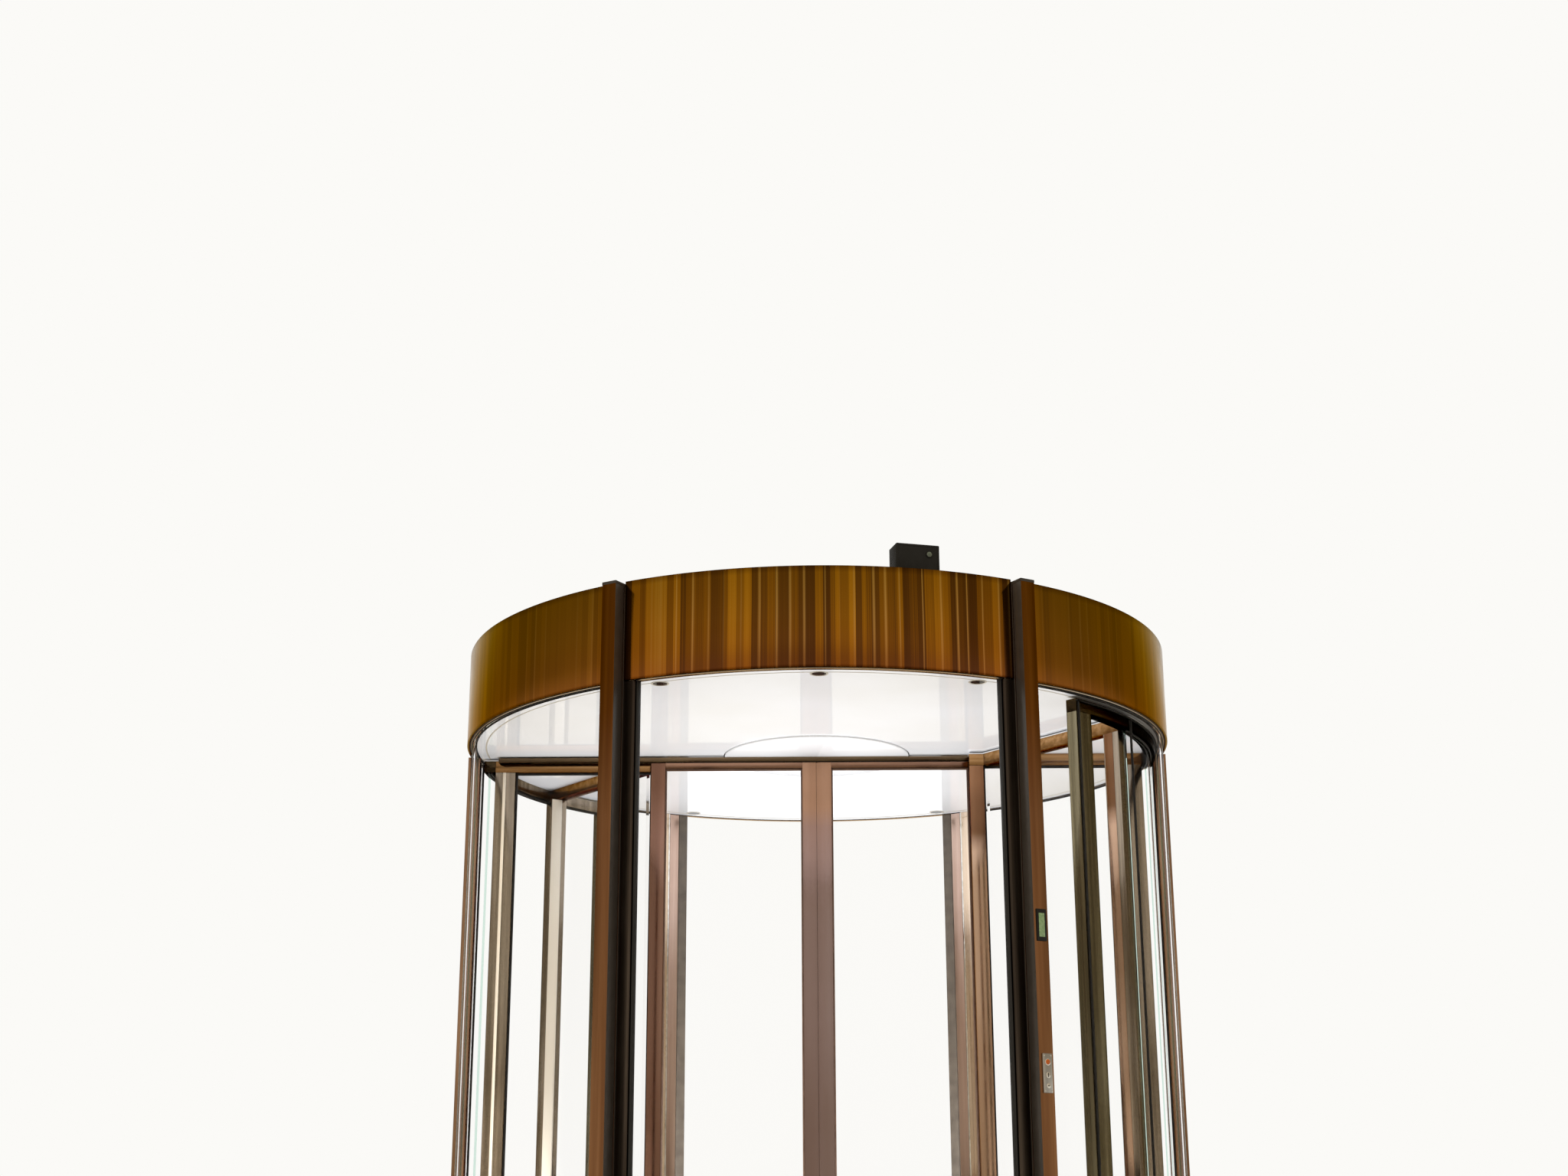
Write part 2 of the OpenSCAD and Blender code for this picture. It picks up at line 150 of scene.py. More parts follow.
def along_grain(tree: Tree, grain: Grain, stretch: float) -> Socket:
    """Makes coordinates in which a pattern is drawn out along a grain.

    Args:
        tree: The node tree.
        grain: The direction of the grain.
        stretch: How many times longer a feature is along the grain.

    Returns:
        The vector socket, in metres across the grain.
    """
    place = add_node(tree, "TexCoord").outputs["Object"]
    if grain is Grain.ROUND:
        split = add_node(tree, "SeparateXYZ", links={0: place})
        ends = {0: split.outputs["Y"], 1: split.outputs["X"]}
        turn = add_node(tree, "Math", {"operation": "ARCTAN2"}, ends)
        reach = add_node(tree, "VectorMath", {"operation": "LENGTH"}, {0: place})
        arc = add_node(tree, "Math", {"operation": "MULTIPLY", 1: DRUM_R / stretch}, {0: turn.outputs[0]})
        ends = {"X": arc.outputs[0], "Y": reach.outputs["Value"], "Z": split.outputs["Z"]}
        return add_node(tree, "CombineXYZ", links=ends).outputs[0]
    scale = {
        Grain.UPRIGHT: (1, 1, 1 / stretch),
        Grain.ALONG_X: (1 / stretch, 1, 1),
        Grain.EVEN: (1, 1, 1),
    }[grain]
    return add_node(tree, "Mapping", {"Scale": scale}, {"Vector": place}).outputs[0]


# Finishes


@dataclass(frozen=True)
class Finish:
    """A finish that is made once and then shared by its pieces."""

    name: str

    def material(self) -> bpy.types.Material:
        """Returns the finish's material, made on first use."""
        found = bpy.data.materials.get(self.name)
        if found:
            return found
        made = bpy.data.materials.new(self.name)
        made.use_nodes = True
        tree = made.node_tree
        self.build(tree, tree.nodes["Principled BSDF"])
        return made

    def build(self, tree: Tree, shader: Node) -> None:
        """Fills in the node tree."""
        raise NotImplementedError

    @staticmethod
    def surface(
        tree: Tree,
        shader: Node,
        colour: Socket,
        height: Socket,
        depth_mm: float,
        strength: float = 1.0,
        smear: Socket | None = None,
        rough: Range = (0.0, 1.0),
    ) -> None:
        """Gives the shader its colour, its relief and, with a smear, its roughness.

        Args:
            tree: The node tree.
            shader: The finish's shader.
            colour: Its colour.
            height: The pattern that is pressed into it.
            depth_mm: How deep the pattern is.
            strength: How much of the pattern shows.
            smear: A noise that the roughness drifts with.
            rough: The least and the greatest roughness.
        """
        tree.links.new(colour, shader.inputs["Base Color"])
        press = add_node(tree, "Bump", {"Distance": depth_mm * MM, "Strength": strength}, {"Height": height})
        tree.links.new(press.outputs[0], shader.inputs["Normal"])
        if smear:
            gloss = {**NOISE_SPAN, "To Min": rough[0], "To Max": rough[1]}
            drift = add_node(tree, "MapRange", gloss, {"Value": smear})
            tree.links.new(drift.outputs[0], shader.inputs["Roughness"])


@dataclass(frozen=True)
class PaintedReflectionBronze(Finish):
    """Mirror-polished bronze-coloured stainless steel sheet, with the streaks that it mirrors painted in as
    upright bands like ebony veneer.

    Rolled sheet bent to a drum: painted reflection bands, hard-edged, of brown and amber, with fine pale
    lines between them as painted highlights over the ways through, and a quieter olive brown painted
    reflection at the sides.
    """

    band_mm: float = 36.0
    band_share: float = 0.50
    group_mm: float = 130.0
    group_share: float = 0.36
    # The finest grain is a hair 6 mm wide, coarser than the real one, so that it shows
    hair_mm: float = 6.0
    hair_share: float = 0.24
    base_level: float = -0.06
    line_mm: float = 74.0
    line_w_mm: float = 8.0
    line_chance: Range = (0.3, 0.9)
    sway_mm: float = 420.0
    lean_mm: float = 1.2
    smear_mm: float = 180.0
    rough: Range = (0.11, 0.21)
    depth_mm: float = 0.04
    # The sine of the turn at which the sides' quieter painted reflection becomes the banded one, and its
    # contrast
    way_through: Range = (0.80, 0.88)
    side_contrast: float = 0.26
    foot_z: float = 2.8
    top_z: float = 3.267
    # Colours of the painted reflection bands, from dark to light
    tones: Stops = (
        (0.10, "#5a3714"),
        (0.34, "#704716"),
        (0.39, "#855514"),
        (0.52, "#936015"),
        (0.57, "#a26b16"),
        (0.78, "#b47a1c"),
        (0.95, "#c4923a"),
    )
    # The fine lines between bands: painted highlights
    pale: str = "#d0a05a"
    # The sides' quieter olive brown: a painted reflection
    quiet: str = "#8a6018"
    edge: str = "#dccaa6"
    # Over the height: a redder foot, a greener head and painted shade at both folded edges
    cast_and_edge_shade: Stops = (
        (0.0, "#a8847a"),
        (0.025, "#f6d6c8"),
        (0.2, "#ffeee2"),
        (0.5, "#fffaf0"),
        (0.93, "#f2f4c8"),
        (1.0, "#b4b092"),
    )
    # A painted reflection that makes the foot paler
    lift: Stops = ((0.0, "#000000"), (0.03, "#3a261c"), (0.2, "#20140c"), (0.42, "#000000"))

    def across(self, tree: Tree, place: Socket) -> tuple[Socket, Socket]:
        """Measures the way round the drum.

        Args:
            tree: The node tree.
            place: Object coordinates.

        Returns:
            The arc length in metres, with a slight lean, and how much a point faces a way through.
        """
        split = add_node(tree, "SeparateXYZ", links={0: place})
        ends = {0: split.outputs["Y"], 1: split.outputs["X"]}
        turn = add_node(tree, "Math", {"operation": "ARCTAN2"}, ends)
        slow = {"Scale": per_metre(self.sway_mm), "Detail": 0.0}
        sway = add_node(tree, "TexNoise", slow, {"Vector": place})
        lean = {"To Min": -self.lean_mm * MM, "To Max": self.lean_mm * MM}
        slip = add_node(tree, "MapRange", {**NOISE_SPAN, **lean}, {"Value": sway.outputs[0]})
        length = {"operation": "MULTIPLY_ADD", 1: DRUM_R}
        arc = add_node(tree, "Math", length, {0: turn.outputs[0], 2: slip.outputs[0]})
        side = add_node(tree, "Math", {"operation": "SINE"}, {0: turn.outputs[0]})
        facing = add_node(tree, "Math", {"operation": "ABSOLUTE"}, {0: side.outputs[0]})
        span = dict(zip(("From Min", "From Max"), self.way_through))
        return arc.outputs[0], add_node(tree, "MapRange", span, {"Value": facing.outputs[0]}).outputs[0]

    def bands(self, tree: Tree, arc: Socket, width_mm: float) -> Node:
        """Splits the way round into bands with hard edges.

        Args:
            tree: The node tree.
            arc: The arc length.
            width_mm: A band's usual width.

        Returns:
            The node whose outputs are random numbers, the same all over one band.
        """
        wide = {"voronoi_dimensions": "1D", "Scale": per_metre(width_mm)}
        cell = add_node(tree, "TexVoronoi", wide, {"W": arc})
        return add_node(tree, "SeparateColor", links={0: cell.outputs["Color"]})

    def banded(self, tree: Tree, arc: Socket, hair: Socket) -> Socket:
        """Colours the painted reflection bands, in lighter and darker groups, with fine pale painted
        highlight lines between some.

        Args:
            tree: The node tree.
            arc: The arc length.
            hair: The finest grain.

        Returns:
            The colour.
        """
        tone, key, chance = (self.bands(tree, arc, mm) for mm in (self.band_mm, self.group_mm, self.line_mm))
        start = {"operation": "MULTIPLY_ADD", 1: self.band_share, 2: self.base_level}
        level = add_node(tree, "Math", start, {0: tone.outputs[0]}).outputs[0]
        for source, share in ((key.outputs[0], self.group_share), (hair, self.hair_share)):
            mix = {"operation": "MULTIPLY_ADD", 1: share}
            level = add_node(tree, "Math", mix, {0: source, 2: level}).outputs[0]
        colour = add_node(tree, "ValToRGB", {"stops": self.tones}, {0: level})
        wide = {"voronoi_dimensions": "1D", "Scale": per_metre(self.line_mm), "feature": "DISTANCE_TO_EDGE"}
        edge = add_node(tree, "TexVoronoi", wide, {"W": arc})
        near = {"From Min": 0.0, "From Max": self.line_w_mm / self.line_mm, "To Min": 1.0, "To Max": 0.0}
        line = add_node(tree, "MapRange", near, {"Value": edge.outputs["Distance"]})
        span = dict(zip(("From Min", "From Max"), self.line_chance))
        pick = add_node(tree, "MapRange", span, {"Value": chance.outputs["Green"]})
        lit = add_node(tree, "Math", {"operation": "MULTIPLY"}, {0: line.outputs[0], 1: pick.outputs[0]})
        pale = {"data_type": "RGBA", 7: srgb(self.pale)}
        mixed = {"Factor": lit.outputs[0], 6: colour.outputs["Color"]}
        return add_node(tree, "Mix", pale, mixed).outputs[2]

    def build(self, tree: Tree, shader: Node) -> None:
        """Draws the painted reflection bands over the arc length round the drum, so that they run straight
        up.

        Args:
            tree: The material's node tree.
            shader: The shader in it.
        """
        place = add_node(tree, "TexCoord").outputs["Object"]
        arc, facing = self.across(tree, place)
        thin = {"noise_dimensions": "1D", "Scale": per_metre(self.hair_mm), "Detail": 1.0}
        hair = add_node(tree, "TexNoise", thin, {"W": arc}).outputs[0]
        # The sides keep only a part of the painted reflection's contrast
        weight = add_node(tree, "MapRange", {"To Min": self.side_contrast, "To Max": 1.0}, {"Value": facing})
        quiet = {"data_type": "RGBA", 6: srgb(self.quiet)}
        colour = add_node(tree, "Mix", quiet, {"Factor": weight.outputs[0], 7: self.banded(tree, arc, hair)})
        split = add_node(tree, "SeparateXYZ", links={0: place})
        span = {"From Min": self.foot_z, "From Max": self.top_z}
        rise = add_node(tree, "MapRange", span, {"Value": split.outputs["Z"]})
        # A redder foot, a greener head and painted shade at both folded edges, and then a foot that stands
        # paler as a painted reflection of the light of the room below
        for blend, stops in (("MULTIPLY", self.cast_and_edge_shade), ("SCREEN", self.lift)):
            cast = add_node(tree, "ValToRGB", {"stops": stops}, {0: rise.outputs[0]})
            laid = {"data_type": "RGBA", "blend_type": blend, "Factor": 1.0}
            colour = add_node(tree, "Mix", laid, {6: colour.outputs[2], 7: cast.outputs["Color"]})
        fill(shader, {"Metallic": 1.0, "Specular Tint": srgb(self.edge)})
        broad = {"Scale": per_metre(self.smear_mm), "Detail": 3.0}
        smear = add_node(tree, "TexNoise", broad, {"Vector": place})
        self.surface(tree, shader, colour.outputs[2], hair, self.depth_mm, 0.5, smear.outputs[0], self.rough)


@dataclass(frozen=True)
class DrawnMetal(Finish):
    """A polished or brushed metal whose tone drifts across its grain, with fine drawn lines."""

    tones: tuple[str, str, str] = ("#7d5534", "#8f6440", "#a97c54")
    edge: str = "#7a5a40"
    grain: Grain = Grain.UPRIGHT
    rough: Range = (0.13, 0.23)
    drift_mm: float = 26.0
    line_mm: float = 2.4
    line_share: float = 0.3
    depth_mm: float = 0.02
    smear_mm: float = 140.0
    stretch: float = 40.0
    # A painted reflection: a cast that changes with the height, standing in for what the sheet mirrors in
    # front of it
    rise: Stops = ()
    height: float = 3.3

    def build(self, tree: Tree, shader: Node) -> None:
        """Lays a slow drift of tone and fine drawn lines along the grain.

        Args:
            tree: The material's node tree.
            shader: The shader in it.
        """
        vector = along_grain(tree, self.grain, self.stretch)
        drift, lines = (
            add_node(tree, "TexNoise", {"Scale": per_metre(mm), "Detail": detail}, {"Vector": vector})
            for mm, detail in ((self.drift_mm, 1.0), (self.line_mm, 2.0))
        )
        share = {"operation": "MULTIPLY_ADD", 1: self.line_share}
        both = add_node(tree, "Math", share, {0: lines.outputs[0], 2: drift.outputs[0]})
        stops = list(zip((0.42, 0.62, 0.84), self.tones))
        colour = add_node(tree, "ValToRGB", {"stops": stops}, {0: both.outputs[0]}).outputs["Color"]
        place = add_node(tree, "TexCoord").outputs["Object"]
        # Multiplies in the painted reflection that changes with the height
        if self.rise:
            split = add_node(tree, "SeparateXYZ", links={0: place})
            part = add_node(tree, "MapRange", {"From Max": self.height}, {"Value": split.outputs["Z"]})
            cast = add_node(tree, "ValToRGB", {"stops": self.rise}, {0: part.outputs[0]})
            blend = {"data_type": "RGBA", "blend_type": "MULTIPLY", "Factor": 1.0}
            colour = add_node(tree, "Mix", blend, {6: colour, 7: cast.outputs["Color"]}).outputs[2]
        fill(shader, {"Metallic": 1.0, "Specular Tint": srgb(self.edge)})
        broad = {"Scale": per_metre(self.smear_mm), "Detail": 3.0}
        smear = add_node(tree, "TexNoise", broad, {"Vector": place})
        self.surface(
            tree, shader, colour, lines.outputs[0], self.depth_mm, smear=smear.outputs[0], rough=self.rough
        )


@dataclass(frozen=True)
class GlossPanel(Finish):
    """White lacquered aluminium sheet: a hard clear gloss that mirrors what stands under it."""

    colour: str = "#f6f9ff"
    shade: str = "#f0f2f5"
    coat: float = 1.0
    coat_ior: float = 1.9
    cloud_mm: float = 600.0
    peel_mm: float = 5.0
    depth_mm: float = 0.01

    def build(self, tree: Tree, shader: Node) -> None:
        """Sets a coat over a colour that drifts very slightly, with a faint orange peel.

        Args:
            tree: The material's node tree.
            shader: The shader in it.
        """
        place = add_node(tree, "TexCoord").outputs["Object"]
        broad = {"Scale": per_metre(self.cloud_mm), "Detail": 2.0}
        cloud = add_node(tree, "TexNoise", broad, {"Vector": place})
        stops = [(0.3, self.shade), (0.7, self.colour)]
        colour = add_node(tree, "ValToRGB", {"stops": stops}, {0: cloud.outputs[0]})
        coat = {"Coat Weight": self.coat, "Coat IOR": self.coat_ior, "Coat Roughness": 0.02}
        fill(shader, {"Roughness": 0.4, **coat})
        fine = {"Scale": per_metre(self.peel_mm), "Detail": 2.0}
        peel = add_node(tree, "TexNoise", fine, {"Vector": place})
        self.surface(tree, shader, colour.outputs["Color"], peel.outputs[0], self.depth_mm, 0.3)


@dataclass(frozen=True)
class Plastic(Finish):
    """Moulded plastic, rubber or paint: one colour with a fine grain."""

    colour: str
    shade: str
    rough: Range = (0.42, 0.58)
    grain_mm: float = 1.2
    grain_share: float = 0.5
    depth_mm: float = 0.06
    cloud_mm: float = 60.0

    def build(self, tree: Tree, shader: Node) -> None:
        """Sets the grain as bump, and lets colour and roughness drift a little.

        Args:
            tree: The material's node tree.
            shader: The shader in it.
        """
        place = add_node(tree, "TexCoord").outputs["Object"]
        broad = {"Scale": per_metre(self.cloud_mm), "Detail": 3.0}
        cloud = add_node(tree, "TexNoise", broad, {"Vector": place})
        vector = along_grain(tree, Grain.EVEN, 1.0)
        grain = {"Scale": per_metre(self.grain_mm), "Detail": 2.0}
        fine = add_node(tree, "TexNoise", grain, {"Vector": vector})
        share = {"operation": "MULTIPLY_ADD", 1: self.grain_share}
        both = add_node(tree, "Math", share, {0: fine.outputs[0], 2: cloud.outputs[0]})
        stops = [(0.55, self.shade), (0.95, self.colour)]
        colour = add_node(tree, "ValToRGB", {"stops": stops}, {0: both.outputs[0]}).outputs["Color"]
        self.surface(
            tree, shader, colour, fine.outputs[0], self.depth_mm, smear=cloud.outputs[0], rough=self.rough
        )


@dataclass(frozen=True)
class ClearGlass(Finish):
    """Laminated safety glass: clear, a trace green at its edge, and open to light from lamps."""

    tint: str = "#ffffff"
    ior: float = 1.16
    roll_mm: float = 900.0
    depth_mm: float = 0.1

    def build(self, tree: Tree, shader: Node) -> None:
        """Mixes in a clear shader for rays from lamps, so that the glass throws no dark shadow.

        Args:
            tree: The material's node tree.
            shader: The shader in it.
        """
        place = add_node(tree, "TexCoord").outputs["Object"]
        tint = srgb(self.tint)
        fill(shader, {"Base Color": tint, "Roughness": 0.0, "IOR": self.ior, "Transmission Weight": 1.0})
        broad = {"Scale": per_metre(self.roll_mm), "Detail": 1.0}
        roll = add_node(tree, "TexNoise", broad, {"Vector": place})
        wave = {"Distance": self.depth_mm * MM, "Strength": 0.1}
        press = add_node(tree, "Bump", wave, {"Height": roll.outputs[0]})
        tree.links.new(press.outputs[0], shader.inputs["Normal"])
        path = add_node(tree, "LightPath")
        clear = add_node(tree, "BsdfTransparent", {"Color": tint})
        ends = {0: path.outputs["Is Shadow Ray"], 1: shader.outputs[0], 2: clear.outputs[0]}
        mix = add_node(tree, "MixShader", links=ends)
        tree.links.new(mix.outputs[0], tree.nodes["Material Output"].inputs["Surface"])


@dataclass(frozen=True)
class Lens(Finish):
    """A small pale or lit lens of moulded acrylic, with a painted highlight."""

    colour: str
    painted_highlight: str
    glow: float
    cloud_mm: float = 12.0

    def build(self, tree: Tree, shader: Node) -> None:
        """Sets a glossy lens whose colour runs unevenly up to a painted highlight, with a faint glow.

        Args:
            tree: The material's node tree.
            shader: The shader in it.
        """
        place = add_node(tree, "TexCoord").outputs["Object"]
        broad = {"Scale": per_metre(self.cloud_mm), "Detail": 1.0}
        cloud = add_node(tree, "TexNoise", broad, {"Vector": place})
        # The colour runs in patches up to a painted highlight
        stops = [(0.2, self.colour), (0.9, self.painted_highlight)]
        colour = add_node(tree, "ValToRGB", {"stops": stops}, {0: cloud.outputs[0]})
        tree.links.new(colour.outputs["Color"], shader.inputs["Base Color"])
        glow = {"Emission Color": srgb(self.colour), "Emission Strength": self.glow}
        fill(shader, {"Roughness": 0.15, **glow})


# The fascia's sheet: painted reflection bands of ebony brown and amber that catch the eye before the door's
# shape
FASCIA = PaintedReflectionBronze("polished_bronze_painted_reflection_bands")
# Throat posts: folded, polished sheet in a warm tobacco brown, with a painted reflection that darkens it
# towards the fascia
POST_BRONZE = DrawnMetal(
    "polished_bronze_posts",
    ("#875d3e", "#916644", "#a07350"),
    rise=((0.0, "#ffffff"), (0.66, "#ffffff"), (0.80, "#d2b873"), (0.86, "#c8ae50"), (1.0, "#c0aa50")),
)
# The drum's sills: the same sheet rolled, its drawn lines running with the curve
RING_BRONZE = DrawnMetal("polished_bronze_round", grain=Grain.ROUND)
# Meeting stiles: drawn profiles in a rose bronze, with a painted reflection that is warm at the top and
# cooler and duller below
ROSE_BRONZE = DrawnMetal(
    "rose_bronze_stiles",
    ("#c9a28e", "#d0a894", "#d8b29f"),
    "#8f6f5c",
    drift_mm=60.0,
    rise=((0.0, "#c0cde6"), (0.6, "#bcc6d8"), (0.735, "#aeacae"), (0.765, "#bbb1a0"), (1.0, "#bbb1a0")),
)
# Outer stiles: the same drawn profile, darker and browner, with a painted reflection that darkens the top
STILE_BRONZE = DrawnMetal(
    "brown_bronze_outer_stiles",
    ("#7e5e50", "#886657", "#957363"),
    "#7c5c48",
    drift_mm=60.0,
    rise=((0.0, "#ffffff"), (0.72, "#ffffff"), (0.80, "#d2cabe"), (1.0, "#cac2b6")),
)
# Showcase jambs and plinths: a lighter tan bronze than the stiles beside them, with a painted reflection: a
# dark band high up and a darker top
JAMB_BRONZE = DrawnMetal(
    "tan_bronze_jambs",
    ("#b4927a", "#bf9e85", "#ccab92"),
    "#8c6f58",
    drift_mm=60.0,
    rise=(
        (0.0, "#ffffff"),
        (0.69, "#ffffff"),
        (0.72, "#93806e"),
        (0.77, "#9a8674"),
        (0.80, "#b09a86"),
        (1.0, "#aa947e"),
    ),
)
# Straight rails and plinth caps: a golden bronze that mirrors the light from below
RAIL_BRONZE = DrawnMetal("gold_bronze_rails", ("#8a643c", "#9b7449", "#b18a60"), "#846442", Grain.ALONG_X)
# Curved rails: rolled profiles, so dark that they stand in for a shadow line: painted shade
ARC_BRONZE = DrawnMetal("dark_bronze_curved_rails", ("#2c2215", "#3a2e1e", "#54452f"), "#40341f", Grain.ROUND)
# Corner posts and the curved rails' inner faces: an olive cast over the bronze, quieter than the jambs
OLIVE_BRONZE = DrawnMetal("olive_bronze_posts", ("#7d7161", "#918474", "#a99b8a"), "#6e6454")
# The header's cover: a dark brown line between ceiling and leaves
HEADER_BRONZE = DrawnMetal("brown_bronze_header", ("#524332", "#5f4e3a", "#76634c"), "#5a4a38", Grain.ALONG_X)
# The leaves' rails: a lighter brown strip under the header
LEAF_BRONZE = DrawnMetal(
    "brown_bronze_leaf_rails", ("#7c5d4c", "#886753", "#94715d"), "#86695a", Grain.ALONG_X
)
# Inner faces of the street posts: a champagne sheet made so pale that it looks almost lit: painted light
PALE_BRONZE = DrawnMetal("champagne_bronze_reveals", ("#d3bba2", "#dfc8b0", "#ecd8c2"), "#a8907a")
# The lobby posts' sides to the way through: black lacquered sheet with only a soft sheen
REVEAL_BLACK = Plastic("black_lacquered_reveals", "#3a342f", "#332e29", (0.3, 0.4), 1.5, depth_mm=0.02)
# The jamb strips beside the lobby posts: almost black, with a brown gleam
STRIP_BROWN = DrawnMetal(
    "dark_brown_jamb_strips", ("#3e3630", "#4c433c", "#60564d"), "#403830", rough=(0.3, 0.42)
)
# The street posts' jamb strips: beige bronze between a pale reveal and a dark rubber edge
BEIGE_STRIP = DrawnMetal(
    "beige_bronze_strips", ("#c8aa9a", "#d2b5a6", "#dcc2b4"), "#9c8578", rough=(0.3, 0.4)
)
# Wall posts: the posts' sheet seen square on, a tone browner
WALL_BRONZE = DrawnMetal("brown_bronze_wall_posts", ("#866750", "#96745a", "#ab8a70"), "#806850")
# Tail posts: rolled to the drum's curve, the darkest of the olive uprights
TAIL_BRONZE = DrawnMetal("dark_olive_tail_posts", ("#5e5744", "#716851", "#8d846b"), "#5c5442")
# The head ring: rolled champagne-coloured sheet under the fascia's edge, with a quiet gleam
RING_CHAMPAGNE = DrawnMetal(
    "champagne_head_ring", ("#b39b80", "#c0a88e", "#cdb69e"), "#a89078", Grain.ROUND, (0.08, 0.14)
)
# The ring's bead: the same sheet polished, a bright line round the drum
BEAD_CHAMPAGNE = DrawnMetal("polished_ring_bead", ("#d8c2a4", "#e2cdb2", "#ecdac2"), "#cdb594", Grain.ROUND)
# Brushed stainless profiles: a soft grey with fine upright lines
SATIN_STEEL = DrawnMetal(
    "satin_steel_upright", ("#a3a29e", "#bab8b3", "#d2d0ca"), "#c8c6c0", rough=(0.26, 0.38), line_mm=1.2
)
# The floor ring and the mat's frame: the same steel, brushed round the drum
RING_STEEL = DrawnMetal(
    "satin_steel_round", ("#9f9e9a", "#b4b2ad", "#cac8c2"), "#c4c2bc", Grain.ROUND, (0.28, 0.4), line_mm=1.2
)
# Beads, collars and screws: mirror-polished stainless steel, bright small lines
BRIGHT_STEEL = DrawnMetal(
    "polished_steel_round", ("#d9d6cf", "#e6e3dc", "#f5f3ed"), "#ece9e2", Grain.ROUND, (0.05, 0.1)
)
# The mat's scraper bars: extruded aluminium, ridged along their length
MAT_BAR = DrawnMetal(
    "grey_aluminium_mat_bars", ("#8b8983", "#a3a19b", "#bcbab4"), "#a09e98", Grain.ALONG_X, (0.3, 0.45)
)
# Roof sheets and bearing beam: factory primer, dull and slightly cloudy
PRIMED_STEEL = Plastic("dark_primed_steel", "#4a4744", "#353230", grain_mm=2.0, depth_mm=0.1)
# Ceiling, centre disc and showcase tops: white lacquer with a mirror gloss
GLOSS_WHITE = GlossPanel("white_gloss_ceiling")
# The showcases' shelves: pale composite stone with a soft polish
SHELF_WHITE = GlossPanel("pale_stone_shelf", "#e9e2d2", "#d9cfba", coat=0.6, coat_ior=1.5)
# Strips on the showcases' posts: cream lacquered sheet, a pale upright beside the dark ones; on the flat
# corner post the strip is a painted highlight
CREAM_STRIP_AND_HIGHLIGHT = GlossPanel("cream_strip_and_painted_highlight", "#fff6e6", "#f6ead6", coat=0.5, coat_ior=1.5)
# Flat panes: laminated safety glass, as clear as it is made
GLASS = ClearGlass("clear_laminated_glass")
# Curved panes: the same glass, drawn so clear that the posts behind its edge stay straight and brown
CURVED_GLASS = ClearGlass("clear_laminated_curved_glass", ior=1.005)
# The panes' ground edges: the green that clear glass shows along its depth
GLASS_EDGE = ClearGlass("ground_glass_edge", "#b4dacb", 1.4)
# Seals and lobby safety edges: black extruded rubber, dull, with a fine bloom
RUBBER = Plastic("black_rubber_seal", "#1d1b19", "#0f0e0d", (0.5, 0.66), 0.8)
# Seals where the leaves meet: rubber in the stiles' own brown, a quiet seam between the two
SEAL_BROWN = Plastic("brown_rubber_meeting_seal", "#7d6558", "#6b5448", (0.5, 0.66), 0.8)
# Glazing beads of the leaves: dark brown rubber, hardly parted from the frame
BEAD_BROWN = Plastic("brown_rubber_glazing_bead", "#6a5142", "#563f32", (0.5, 0.66), 0.8)
# The street posts' wide safety edges: grey-brown rubber, paler than the seals
EDGE_RUBBER = Plastic("grey_brown_rubber_edge", "#6a6055", "#544b42", (0.45, 0.6), 0.8)
# Brush seals: black nylon bristles, drawn 1 mm wide so that they show
BRISTLE = Plastic("black_brush_bristles", "#2a2724", "#080807", (0.6, 0.8), 1.0, depth_mm=0.4)
# The roof housing: black moulded plastic with a spark-eroded grain and an olive cast
HOUSING = Plastic("black_moulded_housing", "#0c0a05", "#070603", (0.6, 0.75), 0.9)
# Sensor lenses: dark polished acrylic
DARK_LENS = Plastic("dark_acrylic_lens", "#1a1a1c", "#0c0c0e", (0.04, 0.08), depth_mm=0.0)
# Sensor rims and the ceiling's joint: warm grey plastic that hardly parts from the white
RIM_GREY = Plastic("warm_grey_sensor_rim", "#b9b2a4", "#a39c8e", (0.3, 0.42), 0.9)
# The mat's pile: charcoal nylon loops, each tuft drawn 2 mm wide so that it shows
MAT_PILE = Plastic("charcoal_mat_pile", "#3a3633", "#151311", (0.85, 0.95), 2.2, depth_mm=1.2)
# The push switch: orange moulded cap
AMBER_CAP = Plastic("orange_push_cap", "#e0761c", "#b9540f", (0.25, 0.35), depth_mm=0.02)
# The housing's eye: a pale window with a painted highlight and a faint painted glow
PALE_LENS = Lens("pale_acrylic_lens", "#4c5446", "#687062", 0.02)
# The status window: green, faintly lit, with a painted highlight
GREEN_LENS = Lens("green_status_window", "#6c8c5c", "#a4bc92", 0.1)


# Meshes, in millimetres

BOTH = (False, True)
QUARTERS = [(left, street) for left in BOTH for street in BOTH]
# Where a full disc's outline starts, so that its points stay apart round the axis
PINHOLE = 0.01


def in_mm(box: Iterable[Vector]) -> list[Vector]:
    """A box's corners in millimetres."""
    return [corner / MM for corner in box]


def rect(x0: float, x1: float, y0: float, y1: float) -> Outline:
    """A rectangle's four corners."""
    return [(x0, y0), (x1, y0), (x1, y1), (x0, y1)]


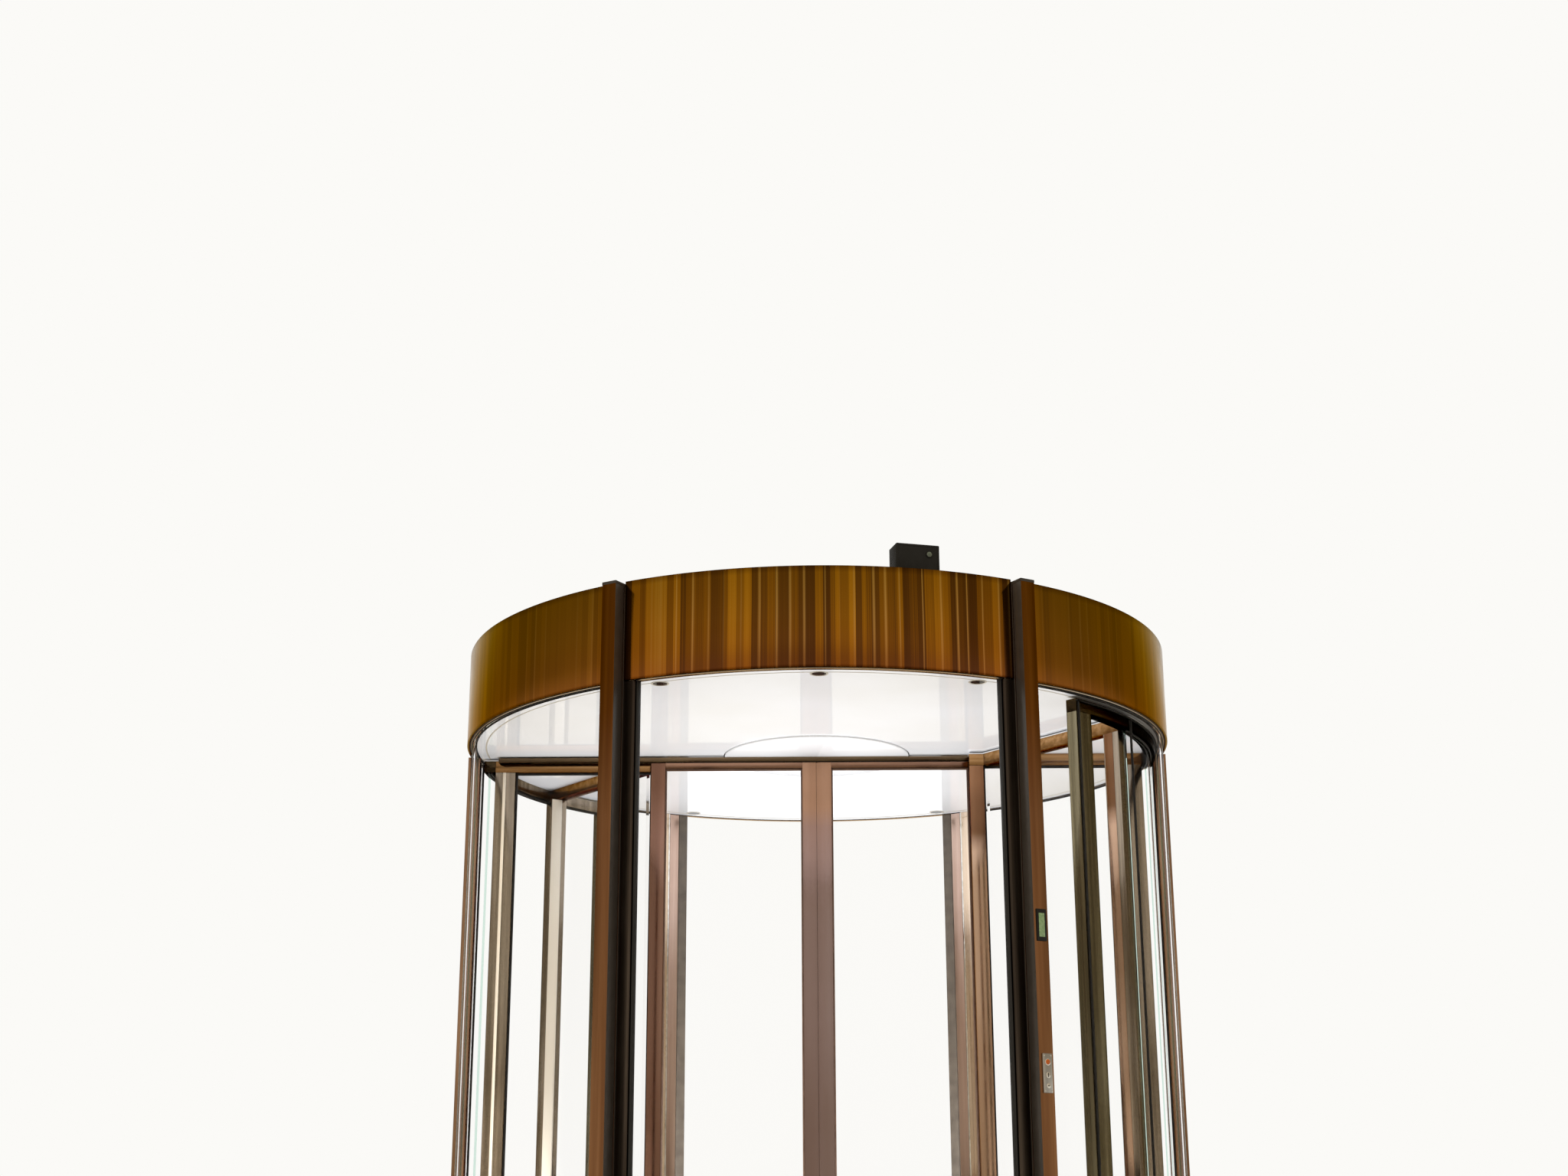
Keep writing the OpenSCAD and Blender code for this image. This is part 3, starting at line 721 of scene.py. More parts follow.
def spun(outline: Outline, start: float = 0.0, end: float = 360.0, step: float = 1.0) -> Mesh:
    """Spins a closed outline about the drum's axis.

    Args:
        outline: Radius and height of each point.
        start: First angle in degrees from +X.
        end: Last angle.
        step: Degrees between two rings of points.

    Returns:
        The closed solid.
    """
    full = end - start > 359.9
    bm = bmesh.new()
    a = math.radians(start)
    points = [bm.verts.new((r * math.cos(a), r * math.sin(a), z)) for r, z in outline]
    edges = [bm.edges.new((points[i - 1], points[i])) for i in range(len(points))]
    bmesh.ops.spin(
        bm,
        geom=points + edges,
        cent=(0, 0, 0),
        axis=(0, 0, 1),
        angle=math.radians(end - start),
        steps=max(2, math.ceil((end - start) / step)),
        use_merge=full,
    )
    bmesh.ops.remove_doubles(bm, verts=bm.verts, dist=1e-4)
    if not full:
        bmesh.ops.holes_fill(bm, edges=bm.edges, sides=0)
    bmesh.ops.recalc_face_normals(bm, faces=bm.faces)
    return bm


def extruded(outline: Outline, low: float, high: float, inset: float = 0.0) -> Mesh:
    """Extrudes a closed plan upwards.

    Args:
        outline: The plan's points.
        low: Height of the underside.
        high: Height of the top.
        inset: How far the sides stand back from the plan.

    Returns:
        The closed solid.
    """
    bm = bmesh.new()
    base = bm.faces.new([bm.verts.new((x, y, low)) for x, y in outline])
    if inset:
        bmesh.ops.inset_region(bm, faces=[base], thickness=inset, use_even_offset=True)
        bmesh.ops.delete(bm, geom=[f for f in bm.faces if f is not base], context="FACES")
    grown = bmesh.ops.extrude_face_region(bm, geom=[base])["geom"]
    top = [v for v in grown if isinstance(v, bmesh.types.BMVert)]
    bmesh.ops.translate(bm, verts=top, vec=(0, 0, high - low))
    bmesh.ops.recalc_face_normals(bm, faces=bm.faces)
    return bm


def block(low: Point, high: Point) -> Mesh:
    """Makes a box between two corners."""
    return extruded(rect(low[0], high[0], low[1], high[1]), low[2], high[2])


def rod(radius: float, low: Point, length: float, axis: str = "Z", sides: int = 32) -> Mesh:
    """Makes a round rod.

    Args:
        radius: Its radius.
        low: The middle of its first end.
        length: Its length along the axis, which may be negative.
        axis: "X", "Y" or "Z".
        sides: How many sides it has.

    Returns:
        The closed solid.
    """
    bm = bmesh.new()
    depth = abs(length)
    bmesh.ops.create_cone(bm, cap_ends=True, segments=sides, radius1=radius, radius2=radius, depth=depth)
    bmesh.ops.translate(bm, verts=bm.verts, vec=(0, 0, length / 2))
    turn = {"X": Matrix.Rotation(math.pi / 2, 4, "Y"), "Y": Matrix.Rotation(-math.pi / 2, 4, "X")}
    bmesh.ops.transform(bm, matrix=Matrix.Translation(low) @ turn.get(axis, Matrix()), verts=bm.verts)
    return bm


def moved(bm: Mesh, place: Matrix) -> Mesh:
    """Moves a mesh, and turns its faces out again where the move mirrors it.

    Args:
        bm: The mesh.
        place: The move, in millimetres.

    Returns:
        The same mesh.
    """
    bmesh.ops.transform(bm, matrix=place, verts=bm.verts)
    if place.determinant() < 0:
        bmesh.ops.reverse_faces(bm, faces=bm.faces)
    return bm


def cut(bm: Mesh, point: Point, normal: Point) -> Mesh:
    """Cuts off what lies past a plane and closes the cut.

    Args:
        bm: The mesh.
        point: A point on the plane.
        normal: The side that is cut off.

    Returns:
        The same mesh.
    """
    geom = bm.verts[:] + bm.edges[:] + bm.faces[:]
    bmesh.ops.bisect_plane(bm, geom=geom, plane_co=point, plane_no=normal, clear_outer=True)
    bmesh.ops.holes_fill(bm, edges=bm.edges, sides=0)
    bmesh.ops.recalc_face_normals(bm, faces=bm.faces)
    return bm


def joined(parts: Iterable[Mesh]) -> Mesh:
    """Puts several meshes into one.

    Args:
        parts: The meshes, which are freed.

    Returns:
        The one mesh.
    """
    whole = bmesh.new()
    for part in parts:
        mesh = bpy.data.meshes.new("part")
        part.to_mesh(mesh)
        part.free()
        whole.from_mesh(mesh)
        bpy.data.meshes.remove(mesh)
    return whole


def rounded(bm: Mesh, width: float, segments: int = 2, merge: bool = True) -> Mesh:
    """Rounds the edges where faces meet at more than 40 degrees.

    Args:
        bm: The mesh.
        width: The bevel's width.
        segments: Steps across the round.
        merge: Whether flat faces side by side become one first.

    Returns:
        The same mesh.
    """
    if merge:
        bmesh.ops.dissolve_limit(bm, angle_limit=math.radians(0.05), verts=bm.verts, edges=bm.edges)
    sharp = [e for e in bm.edges if e.is_manifold and e.calc_face_angle(0.0) > math.radians(40)]
    bmesh.ops.bevel(
        bm,
        geom=sharp,
        offset=width,
        offset_type="OFFSET",
        segments=segments,
        profile=0.5,
        affect="EDGES",
        clamp_overlap=True,
        material=-1,
    )
    return bm


def bar(low: Point, high: Point, width: float, segments: int = 2) -> Mesh:
    """Makes a box between two corners, with rounded edges."""
    return rounded(block(low, high), width, segments)


def border(low: Point, high: Point, lip: float) -> list[Mesh]:
    """Makes the four bars of an upright frame.

    Args:
        low: The frame's low corner.
        high: Its high corner.
        lip: How wide the bars are.

    Returns:
        The head, the foot and the two sides.
    """
    (x0, y0, z0), (x1, y1, z1) = low, high
    return [
        block((x0, y0, z1 - lip), high),
        block(low, (x1, y1, z0 + lip)),
        block((x0, y0, z0 + lip), (x0 + lip, y1, z1 - lip)),
        block((x1 - lip, y0, z0 + lip), (x1, y1, z1 - lip)),
    ]


def in_order(bm: Mesh) -> list[bmesh.types.BMVert]:
    """The mesh's points sorted by place, as an operator may number them differently in each run."""
    return sorted(bm.verts, key=lambda v: [round(c, 1) for c in v.co])


def edge_face(face: Face) -> int:
    """The ground edge's finish for a pane's narrow faces, and clear glass for the rest."""
    lengths = [edge.calc_length() for edge in face.edges]
    return int(min(lengths) < 15 and (max(lengths) > 40 or len(lengths) != 4))


def faces_in(face: Face) -> int:
    """The second finish for faces that look towards the drum's axis."""
    middle = face.calc_center_median()
    return int(face.normal.x * middle.x + face.normal.y * middle.y < -0.9 * math.hypot(middle.x, middle.y))


# A pane's ground edges take a finish of their own
PANE = {"others": [GLASS_EDGE], "choose": edge_face}


def quadrant(left: bool, street: bool) -> Matrix:
    """The mirroring from the quadrant towards +X and +Y to another one."""
    return Matrix.Diagonal((-1 if left else 1, 1 if street else -1, 1, 1))


def about_axis(degrees: float) -> Matrix:
    """A turn about the drum's axis."""
    return Matrix.Rotation(math.radians(degrees), 4, "Z")


def half_turn(left: bool) -> Matrix:
    """The half turn that puts the right showcase or leaf on the left."""
    return Matrix.Rotation(math.pi, 4, "Z") if left else Matrix()


def side_name(left: bool) -> str:
    """The word for a side."""
    return "left" if left else "right"


def end_name(street: bool) -> str:
    """The word for an end."""
    return "street" if street else "lobby"


def dress(node: str, finish: Finish) -> None:
    """Gives a CAD node a finish.

    Args:
        node: The node's name.
        finish: The finish.
    """
    thing = bpy.data.objects[node]
    if not thing.data.materials:
        thing.data.materials.append(None)
    for slot in thing.material_slots:
        slot.material = finish.material()
    LOG.info("%s: dressed", node)


# Sub-assemblies


@dataclass
class Bench:
    """Turns finished meshes into pieces on their bodies."""

    count: int = 0
    triangles: int = 0

    def piece(
        self,
        name: str,
        bm: Mesh,
        finish: Finish,
        body: str,
        slot: str,
        stands_for: Sequence[str] = (),
        others: Sequence[Finish] = (),
        choose: Callable[[Face], int] | None = None,
        smooth_deg: float = 32.0,
    ) -> None:
        """Makes a piece from a mesh in millimetres.

        Args:
            name: The piece's name.
            bm: Its mesh, which is freed.
            finish: The finish of its faces.
            body: The body it rides on.
            slot: The record's material slot; not used.
            stands_for: The CAD nodes that it replaces.
            others: More finishes, numbered from 1.
            choose: Gives the number of a face's finish.
            smooth_deg: Edges flatter than this are shaded smooth.
        """
        if choose:
            for face in bm.faces:
                face.material_index = choose(face)
        bmesh.ops.triangulate(bm, faces=[f for f in bm.faces if len(f.verts) > 4])
        bmesh.ops.scale(bm, verts=bm.verts, vec=(MM, MM, MM))
        mesh = bpy.data.meshes.new(name)
        bm.to_mesh(mesh)
        bm.free()
        for one in (finish, *others):
            mesh.materials.append(one.material())
        mesh.shade_smooth()
        mesh.set_sharp_from_angle(angle=math.radians(smooth_deg))
        thing = bpy.data.objects.new(name, mesh)
        bpy.context.scene.collection.objects.link(thing)
        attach(thing, body)
        if stands_for:
            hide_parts(*stands_for)
        self.count += 1
        self.triangles += sum(len(p.vertices) - 2 for p in mesh.polygons)
        LOG.info("%s: %d faces on %s", name, len(mesh.polygons), body)


@dataclass
class SubAssembly:
    """A group of pieces that ride on one body."""

    bench: Bench

    @property
    def body(self) -> str:
        """The body that the pieces ride on."""
        return "drum"

    @property
    def prefix(self) -> str:
        """What the pieces' names start with."""
        return ""

    @property
    def place(self) -> Matrix:
        """Where the pieces go."""
        return Matrix()

    def add(self, name: str, bm: Mesh, finish: Finish, slot: str, *stands_for: str, **more: object) -> None:
        """Adds a piece to the sub-assembly.

        Args:
            name: Its name after the prefix.
            bm: Its mesh, before it is put in place.
            finish: The finish of its faces.
            slot: The record's material slot.
            stands_for: The CAD nodes that it replaces.
            more: The bench's other settings.
        """
        full = self.prefix + name
        self.bench.piece(full, moved(bm, self.place), finish, self.body, slot, stands_for, **more)


@dataclass
class DrumSizes:
    """The drum's driving sizes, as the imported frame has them."""

    outer_r: float = field(init=False)
    inner_r: float = field(init=False)
    throat_r: float = field(init=False)
    ceiling_z: float = field(init=False)
    fascia_top: float = field(init=False)
    head_z: float = field(init=False)
    head_top: float = field(init=False)
    throat_deg: float = 30.4
    post_w: float = 75.0
    strip_w: float = 57.0
    strip_d: float = 46.0
    lobby_edge_w: float = 12.0
    street_edge_w: float = 62.0
    edge_d: float = 32.0
    glass_t: float = 14.0
    sill_top: float = 110.0
    floor_t: float = 20.0
    post_outer_r: float = 1874.0
    wall_post_d: float = 70.0

    def __post_init__(self) -> None:
        """Reads what the frame's boxes give."""
        low, high = in_mm(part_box("fascia_lobby_centre"))
        self.outer_r = -low.y
        self.ceiling_z = low.z
        self.fascia_top = high.z
        self.inner_r = in_mm(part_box("canopy_roof"))[1].x
        self.throat_r = in_mm(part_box("ceiling"))[1].x
        low, high = in_mm(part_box("head_ring"))
        self.head_z = low.z
        self.head_top = high.z

    @property
    def glass_r(self) -> float:
        """The middle of the fixed glass."""
        return (self.inner_r + self.throat_r) / 2

    @property
    def post_deg(self) -> float:
        """A post's angle from +X."""
        return 90 - self.throat_deg

    def reach_deg(self, offset: float) -> float:
        """The angle that an offset from a post's middle line takes at the fascia."""
        return math.degrees(math.asin(offset / self.inner_r))


@dataclass
class Canopy(SubAssembly):
    """Fascia, head ring, ceiling, sensors and roof."""

    sizes: DrumSizes
    panel_step: float = 0.75
    joint: float = 4.0
    lip: float = 5.0
    edge_round: float = 2.0
    inner_seal_w: float = 7.0
    bead_w: float = 12.0
    outer_seal_w: float = 4.0
    slit: float = 0.3
    hub_gap: float = 8.0
    line_r: float = 1700.0
    line_w: float = 7.0
    sensor_r: float = 42.0
    sensor_inset: float = 72.0
    sensor_deg: float = 25.3
    roof_gap: float = 4.5
    roof_fall: float = 5.0
    seam_count: int = 12
    seam_start: float = 330.0
    seam_w: float = 8.0
    seam_h: float = 9.0
    rim_w: float = 22.0
    rim_h: float = 12.0
    rim_t: float = 3.0
    plate_r: float = 300.0
    plate_t: float = 4.0
    bolt_circle_r: float = 270.0
    bolt_count: int = 8
    bolt_r: float = 9.0

    def build(self) -> None:
        """Builds the canopy's pieces."""
        self.fascia()
        self.head_ring()
        self.ceiling()
        self.sensors()
        self.roof()

    def arcs(self, strip: float, gap: float = 0.5) -> dict[str, Range]:
        """The stretches of ring between the posts.

        Args:
            strip: The width kept free for a jamb strip in the ways through.
            gap: Clearance at a post.

        Returns:
            First and last angle by name.
        """
        s = self.sizes
        half = s.throat_deg - s.reach_deg(s.post_w / 2 + strip + gap)
        side = s.post_deg - s.reach_deg(s.post_w / 2 + gap)
        return {
            "lobby": (-90 - half, -90 + half),
            "street": (90 - half, 90 + half),
            "right": (-side, side),
            "left": (180 - side, 180 + side),
        }

    def fascia(self) -> None:
        """Builds the six curved panels with folded edges."""
        s = self.sizes
        foot, head, lip = s.ceiling_z, s.fascia_top, self.lip
        outline = [
            (s.inner_r, foot),
            (s.outer_r, foot),
            (s.outer_r, head),
            (s.inner_r, head),
            (s.inner_r, head - lip),
            (s.inner_r + lip, head - lip),
            (s.inner_r + lip, foot + lip),
            (s.inner_r, foot + lip),
        ]
        arcs = self.arcs(0.0)
        panels = {f"{end}_centre": (arcs[end], Matrix()) for end in ("lobby", "street")}
        side = (math.degrees(self.joint / 2 / s.outer_r), arcs["right"][1])
        for left, street in QUARTERS:
            panels[f"{end_name(street)}_{side_name(left)}"] = (side, quadrant(left, street))
        for name, (arc, place) in panels.items():
            bm = rounded(spun(outline, *arc, self.panel_step), self.edge_round, merge=False)
            self.add(f"fascia_{name}_panel", moved(bm, place), FASCIA, "bronze_steel", f"fascia_{name}")

    def head_ring(self) -> None:
        """Builds the ring that carries the glass: a dull band with a bright bead at its outer edge."""
        s = self.sizes
        seal_out, bead_out = s.throat_r + self.inner_seal_w, s.inner_r - self.outer_seal_w
        bead_in = bead_out - self.bead_w
        arcs = self.arcs(s.strip_w).values()
        for name, r0, r1, lift, finish, width in (
            ("inner_seal", s.throat_r, seal_out, 2, RUBBER, 0.8),
            ("band", seal_out + self.slit, bead_in - self.slit, 1, RING_CHAMPAGNE, 1.5),
            ("bead", bead_in, bead_out, 0, BEAD_CHAMPAGNE, 1.5),
            ("outer_seal", bead_out + self.slit, s.inner_r - self.slit, 3, RUBBER, 0.8),
        ):
            outline = rect(r0, r1, s.head_z + lift, s.head_top)
            ring = joined(rounded(spun(outline, *arc), width) for arc in arcs)
            stands_for = ["head_ring"] if name == "band" else []
            self.add(f"head_ring_{name}", ring, finish, "bright_steel", *stands_for)

    def ceiling(self) -> None:
        """Gives the flat ceiling its gloss, and adds its inner trim and the joint near its edge."""
        dress("ceiling", GLOSS_WHITE)
        z = self.sizes.ceiling_z
        hole_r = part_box("rotor_hub")[1].x / MM + self.hub_gap
        trim = [
            (hole_r - 3, z - 1),
            (hole_r + 4, z - 1),
            (hole_r + 4, z - 0.1),
            (hole_r - 0.2, z - 0.1),
            (hole_r - 0.2, z + 14),
            (hole_r - 3, z + 14),
        ]
        self.add("ceiling_hole_trim", spun(trim), GLOSS_WHITE, "white_gloss")
        line = rect(self.line_r, self.line_r + self.line_w, z - 0.8, z)
        self.add("ceiling_joint_line", spun(line), RIM_GREY, "white_gloss")

    def sensors(self) -> None:
        """Builds the round sensors over the ways through."""
        r, z = self.sensor_r, self.sizes.ceiling_z
        rim = [(r, z - 0.1), (r - 0.6, z - 1.6), (r - 2, z - 2)]
        rim += [(r - 8, z - 2), (r - 9, z - 1.2), (r - 9, z - 0.1)]
        lens = [(PINHOLE, z - 1.9), (r * 0.4, z - 1.8)]
        lens += [(r - 9.2, z - 0.9), (r - 9.2, z - 0.1), (PINHOLE, z - 0.1)]
        reach = self.sizes.throat_r - self.sensor_inset
        turns = [math.radians(way + side * self.sensor_deg) for way in (-90, 90) for side in (-1, 0, 1)]
        places = [Matrix.Translation((reach * math.cos(a), reach * math.sin(a), 0)) for a in turns]
        for name, outline, finish, stands_for in (
            ("sensor_rims", rim, RIM_GREY, ["ceiling_sensors"]),
            ("sensor_lenses", lens, DARK_LENS, []),
        ):
            rings = joined(moved(spun(outline, step=9), place) for place in places)
            self.add(name, rings, finish, "black_plastic", *stands_for, smooth_deg=50)

    def roof(self) -> None:
        """Builds the roof sheet with standing seams, a rim and an access plate."""
        dress("bearing_beam", PRIMED_STEEL)
        low, high = (corner.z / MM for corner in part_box("canopy_roof"))
        edge = self.sizes.inner_r - self.roof_gap
        foot, half = high - self.roof_fall, self.seam_w / 2
        sheet = spun([(PINHOLE, low), (edge, low), (edge, foot), (PINHOLE, high)], step=2)
        self.add("roof_sheet", sheet, PRIMED_STEEL, "primed_steel", "canopy_roof")
        ends = (self.seam_start, -half, foot), (edge - self.rim_w - 2, half, high + self.seam_h)
        turns = ((i + 0.5) / self.seam_count for i in range(self.seam_count))
        seams = joined(moved(bar(*ends, 2.5), Matrix.Rotation(math.tau * turn, 4, "Z")) for turn in turns)
        self.add("roof_seams", seams, PRIMED_STEEL, "primed_steel")
        rim = [
            (edge - self.rim_w, foot),
            (edge, foot),
            (edge, high + self.rim_h),
            (edge - self.rim_t, high + self.rim_h),
            (edge - self.rim_t, foot + self.rim_t),
            (edge - self.rim_w, foot + self.rim_t),
        ]
        self.add("roof_rim", spun(rim, step=2), PRIMED_STEEL, "primed_steel")
        top = high + self.plate_t
        plate = rounded(spun(rect(PINHOLE, self.plate_r, high, top), step=4), 1.2)
        self.add("roof_access_plate", plate, PRIMED_STEEL, "primed_steel")
        r = self.bolt_circle_r
        turns = (math.tau * i / self.bolt_count for i in range(self.bolt_count))
        heads = (rod(self.bolt_r, (r * math.cos(a), r * math.sin(a), top), 5, sides=6) for a in turns)
        bolts = joined(rounded(head, 0.8) for head in heads)
        self.add("roof_plate_bolts", bolts, SATIN_STEEL, "satin_steel")


@dataclass
class RoofHousing(SubAssembly):
    """The black housing that stands on the roof's edge."""

    sizes: DrumSizes
    width: float = 205.0
    depth: float = 110.0
    turn_deg: float = 15.0
    inset: float = 40.0
    foot_t: float = 4.0
    foot_reach: float = 14.0
    border: float = 7.0
    recess: float = 1.6
    eye_drop: float = 46.0
    ring_r: float = 16.0
    eye_r: float = 12.0
    vent_count: int = 6
    vent_pitch: float = 12.0
    gland_rise: float = 34.0

    @property
    def place(self) -> Matrix:
        """Turns the housing from the lobby's middle to its place."""
        return about_axis(self.turn_deg)

    def build(self) -> None:
        """Builds the shell with its recessed face, foot, eye, vents and cable gland."""
        low, high = (corner.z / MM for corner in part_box("roof_box"))
        half = self.width / 2
        front = self.inset - self.sizes.inner_r
        back, foot = front + self.depth, low + self.foot_t
        shell = bar((-half, front, foot), (half, back, high), 5, 3)
        face = [f for f in shell.faces if f.normal.y < -0.99]
        bmesh.ops.inset_region(shell, faces=face, thickness=self.border, depth=0)
        bmesh.ops.inset_region(shell, faces=face, thickness=1.2, depth=-self.recess)
        self.add("roof_housing", shell, HOUSING, "black_plastic", "roof_box")
        reach = half + self.foot_reach
        plate = bar((-reach, front + 6, low), (reach, back - 6, foot), 1.2)
        self.add("roof_housing_foot", plate, PRIMED_STEEL, "primed_steel")
        x, y, z = self.width * 0.26, front + 1.4, high - self.eye_drop
        ring = rounded(rod(self.ring_r, (x, y, z), -4, "Y"), 1.5)
        self.add("housing_lens_ring", ring, HOUSING, "black_plastic")
        eye = rounded(rod(self.eye_r, (x, y - 3.4, z), -1.6, "Y"), 0.7)
        self.add("housing_lens", eye, PALE_LENS, "black_plastic")
        flank = half - 1.5
        vents = joined(
            bar((side * flank - 2, front + 26, z), (side * flank + 2, back - 22, z + 4), 0.8)
            for side in (-1, 1)
            for z in (low + 40 + self.vent_pitch * i for i in range(self.vent_count))
        )
        self.add("housing_vents", vents, RUBBER, "black_plastic")
        rise = low + self.gland_rise
        nut = rounded(rod(13, (0, back - 1, rise), 12, "Y", 6), 1.2)
        gland = rounded(rod(9, (0, back + 10, rise), 14, "Y"), 1.5)
        self.add("housing_cable_gland", joined([nut, gland]), RUBBER, "black_plastic")


@dataclass
class Posts(SubAssembly):
    """The four throat posts with their strips and safety edges, and the two wall posts."""

    sizes: DrumSizes
    groove: float = 4.0
    corner: float = 3.0
    cap_h: float = 14.0
    shoe_h: float = 90.0
    wall_seam: float = 22.0
    strip_chamfer: Range = (8.0, 6.0)

    def build(self) -> None:
        """Builds every post."""
        for street in BOTH:
            edges = []
            for left in BOTH:
                place = quadrant(left, street) @ about_axis(self.sizes.post_deg)
                self.throat_post(left, street, place)
                edges.append(moved(self.safety_edge(street), place))
            self.add(
                f"safety_edges_{end_name(street)}",
                joined(edges),
                EDGE_RUBBER if street else RUBBER,
                "black_rubber",
                *([] if street else ["safety_edges"]),
                smooth_deg=60,
            )
        for left in BOTH:
            self.wall_post(left)

    def grooved(self, x0: float, seam: float, x1: float, half: float) -> Outline:
        """The plan of a profile with a shadow gap down both sides.

        Args:
            x0: Its back.
            seam: Where the gap starts.
            x1: Its face.
            half: Half its width.

        Returns:
            The plan's points.
        """
        g = self.groove
        side = [(x0, half), (seam, half), (seam, half - g)]
        side += [(seam + g, half - g), (seam + g, half), (x1, half)]
        return [(x, -y) for x, y in side] + side[::-1]

    def tube(self, top: float) -> Mesh:
        """Builds a throat post's profile.

        Args:
            top: Height of its top. The part inside the fascia ends at the ceiling.

        Returns:
            The closed solids, towards the post's own +X.
        """
        s = self.sizes
        half = s.post_w / 2
        plan = self.grooved(s.inner_r, s.outer_r + 4, s.post_outer_r, half)
        nose = bar((s.throat_r, 0.3 - half, 0), (s.inner_r + 8, half - 0.3, s.ceiling_z), self.corner)
        return joined([rounded(extruded(plan, 0, top), self.corner), nose])

    def throat_post(self, left: bool, street: bool, place: Matrix) -> None:
        """Builds one throat post with its jamb strip, cap and shoe.

        Args:
            left: Whether it stands on the left.
            street: Whether it stands on the street side.
            place: Where it stands. Its opening lies towards its own +Y.
        """
        s = self.sizes
        half = s.post_w / 2
        node = f"post_{end_name(street)}_{side_name(left)}"
        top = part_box(node)[1].z / MM
        post = self.tube(top)
        for face in post.faces:
            face.material_index = int(face.normal.x < -0.75 if street else face.normal.y > 0.75)
        reveal = PALE_BRONZE if street else REVEAL_BLACK
        self.add(f"{node}_cladding", moved(post, place), POST_BRONZE, "bronze_steel", node, others=[reveal])
        deep, wide = s.throat_r + s.strip_d, half + s.strip_w
        dx, dy = self.strip_chamfer
        strip = [(s.throat_r, half), (deep, half), (deep, wide - dy), (deep - dx, wide), (s.throat_r, wide)]
        lining = rounded(extruded(strip, 0, s.ceiling_z - 4), 1.5)
        finish = BEIGE_STRIP if street else STRIP_BROWN
        self.add(f"{node}_jamb_strip", moved(lining, place), finish, "bronze_steel")
        out = s.post_outer_r
        cap = bar((s.inner_r - 0.5, -half - 0.6, top - self.cap_h), (out + 0.6, half + 0.6, top), 1.2)
        self.add(f"{node}_cap", moved(cap, place), REVEAL_BLACK, "bronze_steel")
        shoe = bar((out - 2, -half - 1, 0), (out + 1.2, half + 1, self.shoe_h), 1.0)
        self.add(f"{node}_shoe", moved(shoe, place), SATIN_STEEL, "satin_steel")
        if street:
            bead = bar((s.throat_r - 1.5, half - 10, s.floor_t), (s.throat_r, half - 2, s.head_z), 0.6)
            self.add(f"{node}_bead", moved(bead, place), BRIGHT_STEEL, "bronze_steel")

    def safety_edge(self, street: bool) -> Mesh:
        """Builds the rounded rubber profile on a jamb strip.

        Args:
            street: Whether it is a wide one of the street side.

        Returns:
            The closed solid, in a post's own frame.
        """
        s = self.sizes
        start = s.post_w / 2 + s.strip_w
        end = start + (s.street_edge_w if street else s.lobby_edge_w)
        x0, x1 = s.throat_r, s.throat_r + s.edge_d
        middle = (x0 + x1) / 2
        nose = [(x0 + 4, start), (x0 + 4, start + 3), (x0, start + 4), (x0, end - 6)]
        nose += [(middle - 6, end - 0.5), (middle + 6, end - 0.5), (x1, end - 6)]
        nose += [(x1, start + 4), (x1 - 4, start + 3), (x1 - 4, start)]
        return rounded(extruded(nose, s.floor_t, s.head_z), 1.0)

    def wall_post(self, left: bool) -> None:
        """Builds one wall post.

        Args:
            left: Whether it stands on the left.
        """
        node = f"wall_post_{side_name(left)}"
        low, high = in_mm(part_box("wall_post_right"))
        plan = self.grooved(low.x, high.x - self.wall_seam, high.x, self.sizes.wall_post_d / 2)
        post = moved(rounded(extruded(plan, 0, high.z), self.corner), quadrant(left, True))
        self.add(f"{node}_cladding", post, WALL_BRONZE, "bronze_steel", node)


